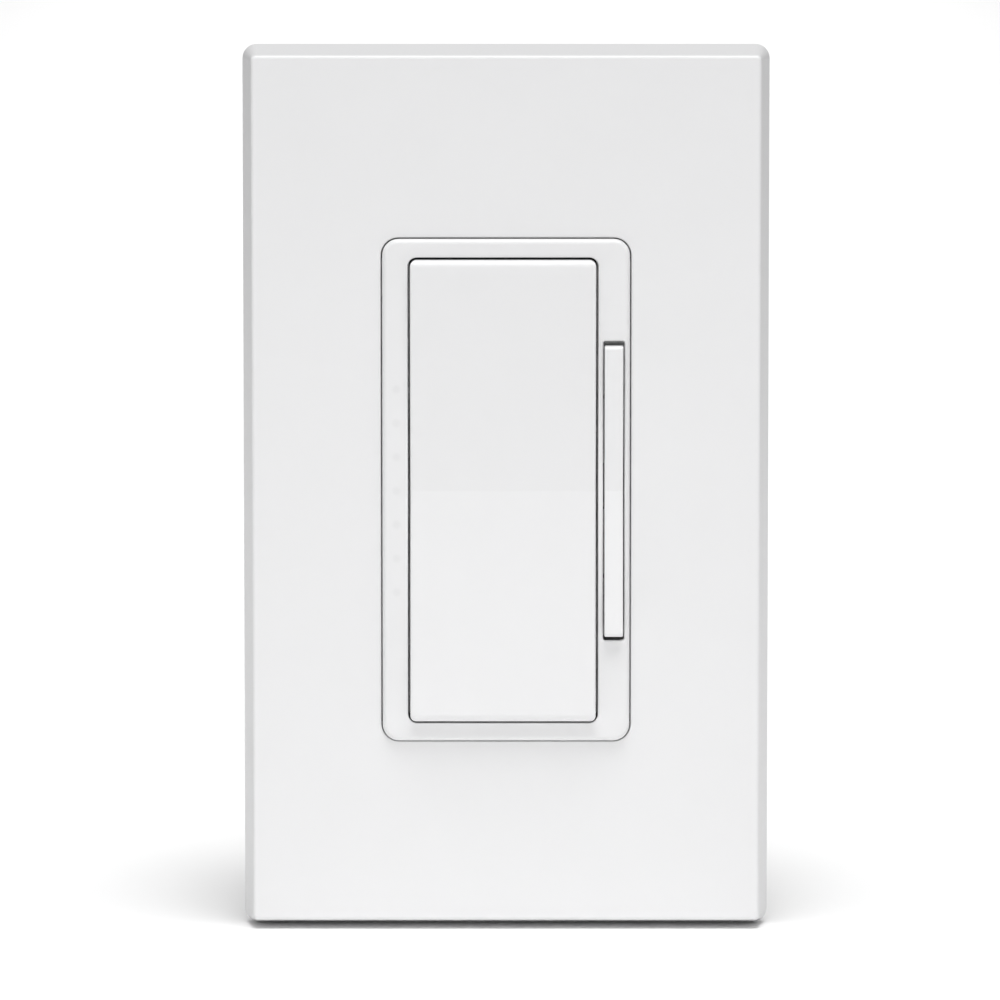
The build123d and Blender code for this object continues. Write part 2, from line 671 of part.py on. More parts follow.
def ground_screw():
    """Hex-head ground screw, driven up through the tab from below."""
    head_end = ground_tab_bottom - GROUND_HEAD_HEIGHT
    hexagon = RegularPolygon(GROUND_HEAD_RADIUS, side_count=6)
    seat = Plane.XY.offset(head_end) * Pos(GROUND_TAB_X, ground_screw_y)
    head = extrude(seat * hexagon, GROUND_HEAD_HEIGHT)
    slot = SCREW_SLOT / 2
    head -= block(
        (GROUND_TAB_X - GROUND_HEAD_RADIUS, GROUND_TAB_X + GROUND_HEAD_RADIUS),
        (ground_screw_y - slot, ground_screw_y + slot),
        (head_end, head_end + SCREW_SLOT),
    )
    shank_end = ground_tab_bottom + GROUND_TAB_THICK + GROUND_SCREW_REACH
    return head + rod_z(GROUND_TAB_X, ground_screw_y, GROUND_SCREW_RADIUS, (ground_tab_bottom, shank_end))


def mounting_screws():
    """Two wall-box screws: head on the strap, a neck through it, and the threaded length behind."""
    screws = []
    head_front = strap_front - SCREW_HEAD_HEIGHT
    for z in (-box_screw_z, box_screw_z):
        screw = rod_y(0, z, SCREW_HEAD_RADIUS, (head_front, strap_front))
        screw = fillet(edges_at(screw, head_front), SCREW_HEAD_HEIGHT / 2)
        screw -= screw_slots(0, z, SCREW_HEAD_RADIUS, head_front, SCREW_HEAD_HEIGHT / 2)
        screw += rod_y(0, z, SCREW_NECK_RADIUS, (strap_front, WASHER_THICK))
        screw += rod_y(0, z, SCREW_RADIUS, (WASHER_THICK, BOX_SCREW_LENGTH))
        screws.append(screw)
    return group(screws)


def retaining_washers():
    """Square fibre washers that keep the wall-box screws in the strap."""
    half = WASHER_SIZE / 2
    washers = []
    for z in (-box_screw_z, box_screw_z):
        washer = block((-half, half), (0, WASHER_THICK), (z - half, z + half))
        washers.append(washer - rod_y(0, z, SCREW_NECK_RADIUS + RUN_GAP, (0, WASHER_THICK)))
    return group(washers)


# ----------------------------------------------------------------------------------------------
# Bezel, level lights
# ----------------------------------------------------------------------------------------------

def bezel_frame():
    """Front frame with the paddle's opening, the bar's slot and the light pipe's channel."""
    ys = (bezel_face, strap_front)
    frame = slab(bezel_width, bezel_height, BEZEL_CORNER, ys, x=bezel_x)
    frame = fillet(edges_at(frame, bezel_face), BEZEL_ROUND)
    frame -= slab(opening_width, opening_height, opening_corner, ys, x=PADDLE_X)
    frame = round_openings(frame, OPENING_ROUND)
    frame -= slab(slot_width, slot_height, BAR_SLOT_CORNER, ys, x=bar_x)
    lip = (bezel_face, bezel_face + OPENING_ROUND)
    frame -= slab(slot_width, slot_height, BAR_SLOT_CORNER, lip, x=bar_x, taper=-BAR_SLOT_BEVEL)
    channel_half = RAIL_WIDTH / 2 + RAIL_GAP
    channel_top = RAIL_HALF_HEIGHT + LEVEL_PRONG_GAP
    frame -= block(
        (LEVEL_X - channel_half, LEVEL_X + channel_half),
        (bezel_face + RAIL_FRONT, strap_front),
        (-channel_top, channel_top),
    )
    pocket = LEVEL_PRONG / 2 + LEVEL_PRONG_GAP
    for z in level_places:
        frame -= block(
            (LEVEL_X - pocket, LEVEL_X + pocket),
            (bezel_face + LEVEL_SKIN, bezel_face + RAIL_FRONT),
            (z - pocket, z + pocket),
        )
    for side in (-1, 1):
        for x in (bezel_x - BEZEL_CLIP_X, bezel_x + BEZEL_CLIP_X):
            frame += snap_clip(x, side * bezel_clip_z, strap_front)
    return frame


def light_pipe():
    """Clear rail with one prong for each light, from the board to the bezel's skin."""
    rail_back = strap_front - RAIL_RAISE
    half = RAIL_WIDTH / 2
    pipe = block(
        (LEVEL_X - half, LEVEL_X + half),
        (rail_back - RAIL_THICK, rail_back),
        (-RAIL_HALF_HEIGHT, RAIL_HALF_HEIGHT),
    )
    prong = LEVEL_PRONG / 2
    front = bezel_face + LEVEL_SKIN + LEVEL_PRONG_GAP
    back = CONTROL_BOARD_Y - LED_THICK - LED_GAP
    for z in level_places:
        pipe += block((LEVEL_X - prong, LEVEL_X + prong), (front, back), (z - prong, z + prong))
    return pipe


def level_leds():
    """One light on the control board behind each prong."""
    xs = (LEVEL_X - LED_WIDTH / 2, LEVEL_X + LED_WIDTH / 2)
    ys = (CONTROL_BOARD_Y - LED_THICK, CONTROL_BOARD_Y)
    return group(block(xs, ys, (z - LED_HEIGHT / 2, z + LED_HEIGHT / 2)) for z in level_places)


# ----------------------------------------------------------------------------------------------
# Paddle and its mechanism
# ----------------------------------------------------------------------------------------------

def paddle():
    """Dished rocker shell with two lugs that turn on the rocker pin."""
    ys = (paddle_ends, paddle_back)
    shell = dished_bar(PADDLE_WIDTH, PADDLE_HEIGHT, paddle_crease, paddle_ends, paddle_back, PADDLE_X)
    shell = soften_key(
        shell, paddle_ends, paddle_crease, PADDLE_X, PADDLE_WIDTH, PADDLE_END_ROUND, PADDLE_SIDE_ROUND
    )
    shell &= slab(PADDLE_WIDTH, PADDLE_HEIGHT, PADDLE_CORNER, ys, x=PADDLE_X)
    inside = dished_bar(
        PADDLE_WIDTH - 2 * PADDLE_WALL,
        PADDLE_HEIGHT - 2 * PADDLE_WALL,
        paddle_crease + PADDLE_WALL,
        paddle_ends + PADDLE_WALL + PADDLE_DISH * 2 * PADDLE_WALL / PADDLE_HEIGHT,
        paddle_back,
        PADDLE_X,
    )
    shell -= inside
    for side in (-1, 1):
        xs = (PADDLE_X + side * lug_inner, PADDLE_X + side * LUG_OUT)
        shell += rod_x(pivot_y, 0, LUG_RADIUS, xs)
        shell += block(xs, (pivot_y, paddle_crease + PADDLE_WALL / 2), (-LUG_RADIUS, LUG_RADIUS))
        shell -= rod_x(pivot_y, 0, PIN_RADIUS + RUN_GAP, xs)
    return shell


def rocker_carrier():
    """Plate behind the paddle: ears for the pin, guides for the plungers, clips into the strap."""
    ys = (carrier_front, strap_front)
    corner = opening_corner - CARRIER_GAP
    plate = slab(
        opening_width - 2 * CARRIER_GAP, opening_height - 2 * CARRIER_GAP, corner, ys, x=PADDLE_X
    )
    for side in (-1, 1):
        xs = (PADDLE_X + side * (ear_outer - EAR_THICK), PADDLE_X + side * ear_outer)
        plate += rod_x(pivot_y, 0, EAR_RADIUS, xs)
        plate += block(xs, (pivot_y, strap_front), (-EAR_RADIUS, EAR_RADIUS))
        plate -= rod_x(pivot_y, 0, PIN_RADIUS + HOLD_GAP, xs)
        plate += snap_clip(PADDLE_X, side * CARRIER_CLIP_Z, strap_front)
    for x, z in paddle_switches:
        plate += rod_y(x, z, GUIDE_RADIUS, (strap_front, -GUIDE_SHORT))
        plate -= rod_y(x, z, PLUNGER_RADIUS + RUN_GAP, (carrier_front, 0))
    return plate


def rocker_pin():
    """Steel pin that the paddle rocks on."""
    return rod_x(pivot_y, 0, PIN_RADIUS, (PADDLE_X - pin_half, PADDLE_X + pin_half))


def plunger(x, z, radius, flange_radius, head_radius, flange, flange_front, head, tip):
    """A push rod: flange under the key, stem, and a snap head near the tip."""
    rod = rod_y(x, z, flange_radius, (flange_front, flange_front + flange))
    rod += rod_y(x, z, radius, (flange_front, tip))
    return rod + rod_y(x, z, head_radius, head)


def paddle_plunger(z):
    """Push rod under one half of the paddle."""
    tip = stem_front - RUN_GAP - PLUNGER_STROKE
    return plunger(
        PADDLE_X,
        z,
        PLUNGER_RADIUS,
        PLUNGER_FLANGE_RADIUS,
        PLUNGER_HEAD_RADIUS,
        PLUNGER_FLANGE,
        paddle_flange_front,
        (tip - PLUNGER_HEAD, tip),
        tip,
    )


def paddle_springs():
    """Return springs around the paddle's two push rods."""
    ys = (paddle_flange_front + PLUNGER_FLANGE, carrier_front)
    return group(
        coil_spring(x, z, PADDLE_SPRING_RADIUS, PADDLE_SPRING_WIRE, PADDLE_SPRING_TURNS, ys)
        for x, z in paddle_switches
    )


# ----------------------------------------------------------------------------------------------
# Dim bar and air-gap slider
# ----------------------------------------------------------------------------------------------

def dim_bar():
    """Slim dished bar with a lug in the middle of its back."""
    bar = dished_bar(BAR_WIDTH, BAR_LENGTH, bar_crease, bar_ends, bar_back, bar_x)
    bar = soften_key(bar, bar_ends, bar_crease, bar_x, BAR_WIDTH, BAR_END_ROUND, BAR_SIDE_ROUND)
    xs = (bar_x - BAR_LUG_WIDTH / 2, bar_x + BAR_LUG_WIDTH / 2)
    bar += rod_x(bar_pin_y, 0, BAR_LUG_RADIUS, xs)
    bar += block(xs, (bar_back, bar_pin_y), (-BAR_LUG_RADIUS, BAR_LUG_RADIUS))
    return bar - rod_x(bar_pin_y, 0, BAR_PIN_RADIUS + RUN_GAP, xs)


def bar_pin():
    """Short pin that joins the bar to the slider."""
    half = SLIDER_WIDTH / 2
    return rod_x(bar_pin_y, 0, BAR_PIN_RADIUS, (bar_x - half, bar_x + half))


def airgap_slider():
    """Slider under the bar: ears for the pin, holes for the push rods, and a tail with a stop."""
    half = SLIDER_WIDTH / 2
    xs = (bar_x - half, bar_x + half)
    slider = block(xs, (slider_front, slider_back), (-SLIDER_HALF_HEIGHT, SLIDER_HALF_HEIGHT))
    for side in (-1, 1):
        ear = (bar_x + side * (half - SLIDER_EAR), bar_x + side * half)
        slider += rod_x(bar_pin_y, 0, SLIDER_EAR_RADIUS, ear)
        slider += block(ear, (bar_pin_y, slider_front), (-SLIDER_EAR_RADIUS, SLIDER_EAR_RADIUS))
        slider -= rod_x(bar_pin_y, 0, BAR_PIN_RADIUS + HOLD_GAP, ear)
    slider += block(xs, (slider_back, SLIDER_TAIL_END), (-SLIDER_TAIL_HALF, SLIDER_TAIL_HALF))
    stop = (slider_stop, slider_stop + SLIDER_STOP_THICK)
    slider += block(xs, stop, (-SLIDER_STOP_HALF, SLIDER_STOP_HALF))
    for x, z in bar_switches:
        slider -= rod_y(x, z, BAR_PLUNGER_RADIUS + RUN_GAP, (slider_front, slider_back))
    return slider


def airgap_blade():
    """Copper bridge across the end of the slider's tail."""
    half = SLIDER_WIDTH / 2
    ys = (SLIDER_TAIL_END, SLIDER_TAIL_END + BLADE_THICK)
    return block((bar_x - half, bar_x + half), ys, (-BLADE_HALF_HEIGHT, BLADE_HALF_HEIGHT))


def airgap_contacts():
    """Two contact posts on the power board that the blade bridges when the slider is home."""
    front = SLIDER_TAIL_END + BLADE_THICK + CONTACT_GAP
    half = CONTACT_WIDTH / 2
    post_xs = (bar_x - CONTACT_THICK / 2, bar_x + CONTACT_THICK / 2)
    contacts = []
    for z in (-CONTACT_Z, CONTACT_Z):
        zs = (z - half, z + half)
        post = block(post_xs, (front, POWER_BOARD_Y), zs)
        contacts.append(post + block((bar_x - half, bar_x + half), (front, front + CONTACT_THICK), zs))
    return group(contacts)


def bar_plunger(z):
    """Push rod under one half of the bar."""
    head_front = slider_back + PLUNGER_STROKE
    return plunger(
        bar_x,
        z,
        BAR_PLUNGER_RADIUS,
        BAR_PLUNGER_FLANGE_RADIUS,
        BAR_PLUNGER_HEAD_RADIUS,
        BAR_PLUNGER_FLANGE,
        bar_flange_front,
        (head_front, head_front + BAR_PLUNGER_HEAD),
        stem_front - RUN_GAP - BAR_PLUNGER_STROKE,
    )


def bar_springs():
    """Return springs around the bar's two push rods."""
    ys = (bar_flange_front + BAR_PLUNGER_FLANGE, slider_front)
    return group(
        coil_spring(x, z, BAR_SPRING_RADIUS, BAR_SPRING_WIRE, BAR_SPRING_TURNS, ys)
        for x, z in bar_switches
    )


# ----------------------------------------------------------------------------------------------
# Control board
# ----------------------------------------------------------------------------------------------

def lead_xs(x):
    """The X places of a transistor's three leads."""
    return [x + i * TRANSISTOR_LEAD_PITCH for i in (-1, 0, 1)]


def lead_zs():
    """The two Z values between which the leads turn back towards the boards."""
    low = -TRANSISTOR_HALF_HEIGHT - TRANSISTOR_LEAD_DROP
    return (low, low + TRANSISTOR_LEAD_THICK)


def control_board():
    """Front board, with cut-outs for the posts, the slider's tail, and the transistors' leads."""
    ys = (CONTROL_BOARD_Y, control_board_back)
    board = slab(board_width, board_height, BOARD_CORNER, ys)
    for x, z in post_places:
        board -= rod_y(x, z, POST_FRONT_RADIUS + POST_GAP, ys)
    tail_half = SLIDER_TAIL_HALF + PART_GAP
    board -= block((bar_x - SLIDER_WIDTH / 2 - PART_GAP, board_width / 2), ys, (-tail_half, tail_half))
    low, high = lead_zs()
    for x in TRANSISTOR_X:
        reach = TRANSISTOR_LEAD_PITCH + TRANSISTOR_LEAD_WIDTH / 2 + PART_GAP
        board -= block((x - reach, x + reach), ys, (low - PART_GAP, high + PART_GAP))
    return board


def tact_switch_bodies():
    """Four switch cases on the control board, each with a well for its stem."""
    half = SWITCH_SIZE / 2
    cases = []
    for x, z in paddle_switches + bar_switches:
        case = block((x - half, x + half), (switch_front, CONTROL_BOARD_Y), (z - half, z + half))
        well_end = switch_front + SWITCH_STEM_IN + SWITCH_TRAVEL + SWITCH_FLOOR_GAP
        cases.append(case - rod_y(x, z, SWITCH_STEM_RADIUS + RUN_GAP, (switch_front, well_end)))
    return group(cases)


def switch_stem(x, z):
    """One switch's button."""
    return rod_y(x, z, SWITCH_STEM_RADIUS, (stem_front, switch_front + SWITCH_STEM_IN))


def microcontroller():
    """Logic chip on the back of the control board."""
    (x, z), (width, thick, height) = CONTROLLER_PLACE, CONTROLLER_SIZE
    ys = (control_board_back, control_board_back + thick)
    return block((x - width / 2, x + width / 2), ys, (z - height / 2, z + height / 2))


def board_resistors():
    """A row of chip resistors on the back of the control board."""
    (x, z), (width, thick, height) = RESISTOR_PLACE, RESISTOR_SIZE
    ys = (control_board_back, control_board_back + thick)
    zs = (z - height / 2, z + height / 2)
    places = [x + i * RESISTOR_PITCH for i in range(RESISTOR_COUNT)]
    return group(block((p - width / 2, p + width / 2), ys, zs) for p in places)


def board_header():
    """Pin header that joins the two boards."""
    (x, z), (width, height) = HEADER_PLACE, HEADER_SIZE
    xs = (x - width / 2, x + width / 2)
    header = block(xs, (control_board_back, control_board_back + width), (z - height / 2, z + height / 2))
    half = HEADER_PIN / 2
    for i in range(HEADER_PINS):
        pin_z = z + (i - (HEADER_PINS - 1) / 2) * HEADER_PITCH
        pin_zs = (pin_z - half, pin_z + half)
        header += block((x - half, x + half), (control_board_back, POWER_BOARD_Y), pin_zs)
    return header


# ----------------------------------------------------------------------------------------------
# Power transistors on the strap
# ----------------------------------------------------------------------------------------------

def power_transistors():
    """Two tabbed transistors whose leads turn back to the power board."""
    parts = []
    back = PAD_THICK + TRANSISTOR_THICK
    lead_y = (PAD_THICK + back) / 2
    for x in TRANSISTOR_X:
        xs = (x - TRANSISTOR_WIDTH / 2, x + TRANSISTOR_WIDTH / 2)
        body = block(xs, (PAD_THICK, back), (-TRANSISTOR_HALF_HEIGHT, TRANSISTOR_TAB_Z))
        tab_back = PAD_THICK + TRANSISTOR_TAB_THICK
        body += block(xs, (PAD_THICK, tab_back), (TRANSISTOR_TAB_Z, TRANSISTOR_HALF_HEIGHT))
        body -= rod_y(x, TRANSISTOR_HOLE_Z, TRANSISTOR_SCREW_RADIUS + SCREW_GAP, (PAD_THICK, tab_back))
        low, high = lead_zs()
        half = TRANSISTOR_LEAD_WIDTH / 2
        for p in lead_xs(x):
            lead = (p - half, p + half)
            bend = (lead_y, lead_y + TRANSISTOR_LEAD_THICK)
            body += block(lead, bend, (low, -TRANSISTOR_HALF_HEIGHT))
            body += block(lead, (lead_y, POWER_BOARD_Y), (low, high))
        parts.append(body)
    return group(parts)


def insulator_pads():
    """Thermal pads between the transistors and the strap."""
    pads = []
    reach = TRANSISTOR_HALF_HEIGHT + PAD_MARGIN
    for x in TRANSISTOR_X:
        half = TRANSISTOR_WIDTH / 2 + PAD_MARGIN
        pad = block((x - half, x + half), (0, PAD_THICK), (-reach, reach))
        pads.append(pad - rod_y(x, TRANSISTOR_HOLE_Z, TRANSISTOR_SCREW_RADIUS + SCREW_GAP, (0, PAD_THICK)))
    return group(pads)


def transistor_screws():
    """One screw through each transistor's tab into the strap."""
    screws = []
    seat = PAD_THICK + TRANSISTOR_TAB_THICK
    for x in TRANSISTOR_X:
        head_ys = (seat, seat + TRANSISTOR_SCREW_HEAD)
        head = rod_y(x, TRANSISTOR_HOLE_Z, TRANSISTOR_SCREW_HEAD_RADIUS, head_ys)
        tip = strap_front + STRAP_SCREW_SHORT
        screws.append(head + rod_y(x, TRANSISTOR_HOLE_Z, TRANSISTOR_SCREW_RADIUS, (tip, seat)))
    return group(screws)


# ----------------------------------------------------------------------------------------------
# Power board and its parts
# ----------------------------------------------------------------------------------------------

def power_board():
    """Rear board, cut away around the posts and the four terminal pockets."""
    ys = (POWER_BOARD_Y, power_board_back)
    board = slab(board_width, board_height, BOARD_CORNER, ys)
    for x, z in post_places:
        board -= rod_y(x, z, POST_MIDDLE_RADIUS + POST_GAP, ys)
    inner_x = POCKET_FLOOR_X - POCKET_WALL - PART_GAP
    reach = POCKET_HALF + POCKET_WALL + PART_GAP
    for side, z in terminal_places:
        board -= block((side * inner_x, side * board_width / 2), ys, (z - reach, z + reach))
    return board


def on_power_board(place, size):
    """A box that stands on the front of the power board. size is its width, rise and height in Z."""
    x, z = place
    width, rise, height = size
    xs = (x - width / 2, x + width / 2)
    return block(xs, (POWER_BOARD_Y - rise, POWER_BOARD_Y), (z - height / 2, z + height / 2))


def toroid_ys():
    """The core stands off the board by one wire."""
    return (POWER_BOARD_Y - WINDING_WIRE - TOROID_HEIGHT, POWER_BOARD_Y - WINDING_WIRE)


def toroid_core():
    """Ring core of the filter choke, lying on the board."""
    x, z = TOROID_PLACE
    return rod_y(x, z, TOROID_OUTER, toroid_ys()) - rod_y(x, z, TOROID_INNER, toroid_ys())


def choke_winding():
    """Square loops of wire around the ring core."""
    x, z = TOROID_PLACE
    front, back = toroid_ys()
    wire = WINDING_WIRE
    zs = (-wire / 2, wire / 2)
    outer = block((TOROID_INNER - wire, TOROID_OUTER + wire), (front - wire, back + wire), zs)
    inner_xs = (TOROID_INNER - WINDING_GAP, TOROID_OUTER + WINDING_GAP)
    loop = outer - block(inner_xs, (front, back), zs)
    angles = [360 / WINDING_LOOPS * i for i in range(WINDING_LOOPS)]
    return group(Pos(x, 0, z) * Rot(0, angle, 0) * loop for angle in angles)


def filter_capacitor():
    """Electrolytic can, standing on the board."""
    x, z = ELECTROLYTIC_PLACE
    can = rod_y(x, z, ELECTROLYTIC_RADIUS, (POWER_BOARD_Y - ELECTROLYTIC_HEIGHT, POWER_BOARD_Y))
    return fillet(can.edges().filter_by(GeomType.CIRCLE), ELECTROLYTIC_ROUND)


def film_capacitor():
    """Box film capacitor."""
    return on_power_board(FILM_PLACE, FILM_SIZE)


def surge_varistor():
    """Disc that clamps surges, on two leads."""
    x, z = VARISTOR_PLACE
    centre = POWER_BOARD_Y - VARISTOR_RAISE - VARISTOR_RADIUS
    disc = rod_x(centre, z, VARISTOR_RADIUS, (x - VARISTOR_THICK / 2, x + VARISTOR_THICK / 2))
    for side in (-1, 1):
        disc += rod_y(x, z + side * VARISTOR_RADIUS / 2, VARISTOR_LEAD_RADIUS, (centre, POWER_BOARD_Y))
    return disc


def fuse():
    """Cartridge fuse with a cap at each end."""
    x, z = FUSE_PLACE
    y = POWER_BOARD_Y - FUSE_RADIUS
    ends = (z - FUSE_LENGTH / 2, z + FUSE_LENGTH / 2)
    tube = rod_z(x, y, FUSE_GLASS_RADIUS, ends)
    for end, inward in zip(ends, (1, -1)):
        tube += rod_z(x, y, FUSE_RADIUS, (end, end + inward * FUSE_CAP))
    return tube


def supply_transformer():
    """Small flyback transformer: a core around a longer bobbin."""
    return on_power_board(TRANSFORMER_PLACE, TRANSFORMER_SIZE) + on_power_board(
        TRANSFORMER_PLACE, TRANSFORMER_BOBBIN
    )


def bridge_rectifier():
    """Rectifier block."""
    return on_power_board(RECTIFIER_PLACE, RECTIFIER_SIZE)


# ----------------------------------------------------------------------------------------------
# Terminals
# ----------------------------------------------------------------------------------------------

def leg_zs(z):
    """The Z span of the leg that joins a bracket to the power board."""
    centre = z - WIRE_HOLE_OFFSET
    return (centre - LEG_WIDTH / 2, centre + LEG_WIDTH / 2)


def terminal_brackets():
    """Brass plates on the pockets' floors, each with a leg on the power board."""
    brackets = []
    for side, z in terminal_places:
        xs = (side * POCKET_FLOOR_X, side * bracket_front)
        ys = (TERMINAL_Y - BRACKET_HALF_Y, TERMINAL_Y + BRACKET_HALF_Y)
        bracket = block(xs, ys, (z - BRACKET_HALF_Z, z + BRACKET_HALF_Z))
        leg_ys = (POWER_BOARD_Y - LEG_THICK, POWER_BOARD_Y)
        bracket += block((side * LEG_END_X, side * POCKET_FLOOR_X), leg_ys, leg_zs(z))
        brackets.append(bracket - rod_x(TERMINAL_Y, z, TERMINAL_SCREW_RADIUS + RUN_GAP, xs))
    return group(brackets)


def terminal_clamp_plates():
    """Pressure plates under the terminal screws' heads."""
    plates = []
    for side, z in terminal_places:
        xs = (side * clamp_inner, side * clamp_outer)
        ys = (TERMINAL_Y - CLAMP_HALF_Y, TERMINAL_Y + CLAMP_HALF_Y)
        plate = block(xs, ys, (z - CLAMP_HALF_Z, z + CLAMP_HALF_Z))
        plates.append(plate - rod_x(TERMINAL_Y, z, TERMINAL_SCREW_RADIUS + SCREW_GAP, xs))
    return group(plates)


def terminal_screw(side, z):
    """One side terminal screw, with crossed slots in its head."""
    head_xs = (side * clamp_outer, side * terminal_head_outer)
    screw = rod_x(TERMINAL_Y, z, TERMINAL_HEAD_RADIUS, head_xs)
    half = SCREW_SLOT / 2
    reach = SCREW_SLOT_REACH * TERMINAL_HEAD_RADIUS
    slot_xs = (side * (terminal_head_outer - TERMINAL_HEAD_HEIGHT / 2), side * terminal_head_outer)
    screw -= block(slot_xs, (TERMINAL_Y - half, TERMINAL_Y + half), (z - reach, z + reach))
    screw -= block(slot_xs, (TERMINAL_Y - reach, TERMINAL_Y + reach), (z - half, z + half))
    shank_xs = (side * TERMINAL_SCREW_END, side * clamp_outer)
    return screw + rod_x(TERMINAL_Y, z, TERMINAL_SCREW_RADIUS, shank_xs)


# ----------------------------------------------------------------------------------------------
# Housing
# ----------------------------------------------------------------------------------------------

def housing():
    """Rear housing: closed back, stepped corner posts, and two terminal pockets on each side."""
    box = slab(HOUSING_WIDTH, HOUSING_HEIGHT, HOUSING_CORNER, (0, HOUSING_DEPTH))
    box = fillet(edges_at(box, HOUSING_DEPTH), HOUSING_WALL / 2)
    box -= slab(
        HOUSING_WIDTH - 2 * HOUSING_WALL,
        HOUSING_HEIGHT - 2 * HOUSING_WALL,
        HOUSING_INNER_CORNER,
        (0, housing_floor),
    )
    for x, z in post_places:
        box += rod_y(x, z, POST_FRONT_RADIUS, (0, housing_floor))
        box += rod_y(x, z, POST_MIDDLE_RADIUS, (control_board_back, housing_floor))
        box += rod_y(x, z, POST_BACK_RADIUS, (power_board_back, housing_floor))
        box -= rod_y(x, z, HOUSING_SCREW_RADIUS + SCREW_GAP, (0, HOUSING_DEPTH))
        head = HOUSING_SCREW_HEAD_HEIGHT + HOUSING_SCREW_SUNK
        box -= rod_y(x, z, HOUSING_SCREW_HEAD_RADIUS + SCREW_GAP, (HOUSING_DEPTH - head, HOUSING_DEPTH))
    for side, z in terminal_places:
        box = add_pocket(box, side, z)
    return box


def add_pocket(box, side, z):
    """One terminal pocket in a side wall, with its wire holes through the housing's back."""
    outer = side * HOUSING_WIDTH / 2
    inner_face = side * (HOUSING_WIDTH / 2 - HOUSING_WALL)
    reach = POCKET_HALF + POCKET_WALL
    boss_ys = (POCKET_FRONT_Y - POCKET_WALL, housing_floor)
    floor = side * (POCKET_FLOOR_X - POCKET_WALL)
    box += block((floor, inner_face), boss_ys, (z - reach, z + reach))
    pocket_ys = (POCKET_FRONT_Y, housing_floor)
    box -= block((side * POCKET_FLOOR_X, outer), pocket_ys, (z - POCKET_HALF, z + POCKET_HALF))
    box -= rod_x(TERMINAL_Y, z, TERMINAL_SCREW_RADIUS + LEG_GAP, (floor, side * POCKET_FLOOR_X))
    low, high = leg_zs(z)
    leg_ys = (POWER_BOARD_Y - LEG_THICK - LEG_GAP, POWER_BOARD_Y + LEG_GAP)
    box -= block((floor, side * POCKET_FLOOR_X), leg_ys, (low - LEG_GAP, high + LEG_GAP))
    for offset in (-WIRE_HOLE_OFFSET, WIRE_HOLE_OFFSET):
        box -= rod_y(side * wire_x, z + offset, WIRE_HOLE_RADIUS, (housing_floor, HOUSING_DEPTH))
    return box


def housing_screws():
    """Four long screws from the housing's back into the strap."""
    screws = []
    face = HOUSING_DEPTH - HOUSING_SCREW_SUNK
    seat = face - HOUSING_SCREW_HEAD_HEIGHT
    for x, z in post_places:
        screw = rod_y(x, z, HOUSING_SCREW_HEAD_RADIUS, (seat, face))
        depth = HOUSING_SCREW_HEAD_HEIGHT / 2
        screw -= screw_slots(x, z, HOUSING_SCREW_HEAD_RADIUS, face - depth, depth)
        screws.append(screw + rod_y(x, z, HOUSING_SCREW_RADIUS, (strap_front + STRAP_SCREW_SHORT, seat)))
    return group(screws)


# ----------------------------------------------------------------------------------------------
# Every node, by its name
# ----------------------------------------------------------------------------------------------

nodes = {
    "faceplate": faceplate(),
    "subplate": subplate(),
    "subplate_screws": subplate_screws(),
    "mounting_strap": mounting_strap(),
    "mounting_screws": mounting_screws(),
    "retaining_washers": retaining_washers(),
    "ground_screw": ground_screw(),
    "bezel_frame": bezel_frame(),
    "light_pipe": light_pipe(),
    "level_leds": level_leds(),
    "paddle": paddle(),
    "rocker_carrier": rocker_carrier(),
    "rocker_pin": rocker_pin(),
    "paddle_plunger_upper": paddle_plunger(PLUNGER_Z),
    "paddle_plunger_lower": paddle_plunger(-PLUNGER_Z),
    "paddle_springs": paddle_springs(),
    "dim_bar": dim_bar(),
    "bar_pin": bar_pin(),
    "airgap_slider": airgap_slider(),
    "airgap_blade": airgap_blade(),
    "airgap_contacts": airgap_contacts(),
    "bar_plunger_upper": bar_plunger(BAR_PLUNGER_Z),
    "bar_plunger_lower": bar_plunger(-BAR_PLUNGER_Z),
    "bar_springs": bar_springs(),
    "control_board": control_board(),
    "tact_switch_bodies": tact_switch_bodies(),
    "paddle_switch_stem_upper": switch_stem(PADDLE_X, PLUNGER_Z),
    "paddle_switch_stem_lower": switch_stem(PADDLE_X, -PLUNGER_Z),
    "bar_switch_stem_upper": switch_stem(bar_x, BAR_PLUNGER_Z),
    "bar_switch_stem_lower": switch_stem(bar_x, -BAR_PLUNGER_Z),
    "microcontroller": microcontroller(),
    "board_resistors": board_resistors(),
    "board_header": board_header(),
    "power_transistors": power_transistors(),
    "insulator_pads": insulator_pads(),
    "transistor_screws": transistor_screws(),
    "power_board": power_board(),
    "toroid_core": toroid_core(),
    "choke_winding": choke_winding(),
    "filter_capacitor": filter_capacitor(),
    "film_capacitor": film_capacitor(),
    "surge_varistor": surge_varistor(),
    "fuse": fuse(),
    "supply_transformer": supply_transformer(),
    "bridge_rectifier": bridge_rectifier(),
    "terminal_brackets": terminal_brackets(),
    "terminal_clamp_plates": terminal_clamp_plates(),
    "line_terminal_screw": terminal_screw(1, TERMINAL_Z),
    "load_terminal_screw": terminal_screw(1, -TERMINAL_Z),
    "neutral_terminal_screw": terminal_screw(-1, TERMINAL_Z),
    "traveler_terminal_screw": terminal_screw(-1, -TERMINAL_Z),
    "housing": housing(),
    "housing_screws": housing_screws(),
}

os.makedirs("parts", exist_ok=True)
for name, shape in nodes.items():
    export_step(shape, f"parts/{name}.step")
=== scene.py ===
"""Looks for an in-wall dimmer: finishes, threaded screws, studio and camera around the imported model."""

import logging
import math
from dataclasses import dataclass
from enum import Enum

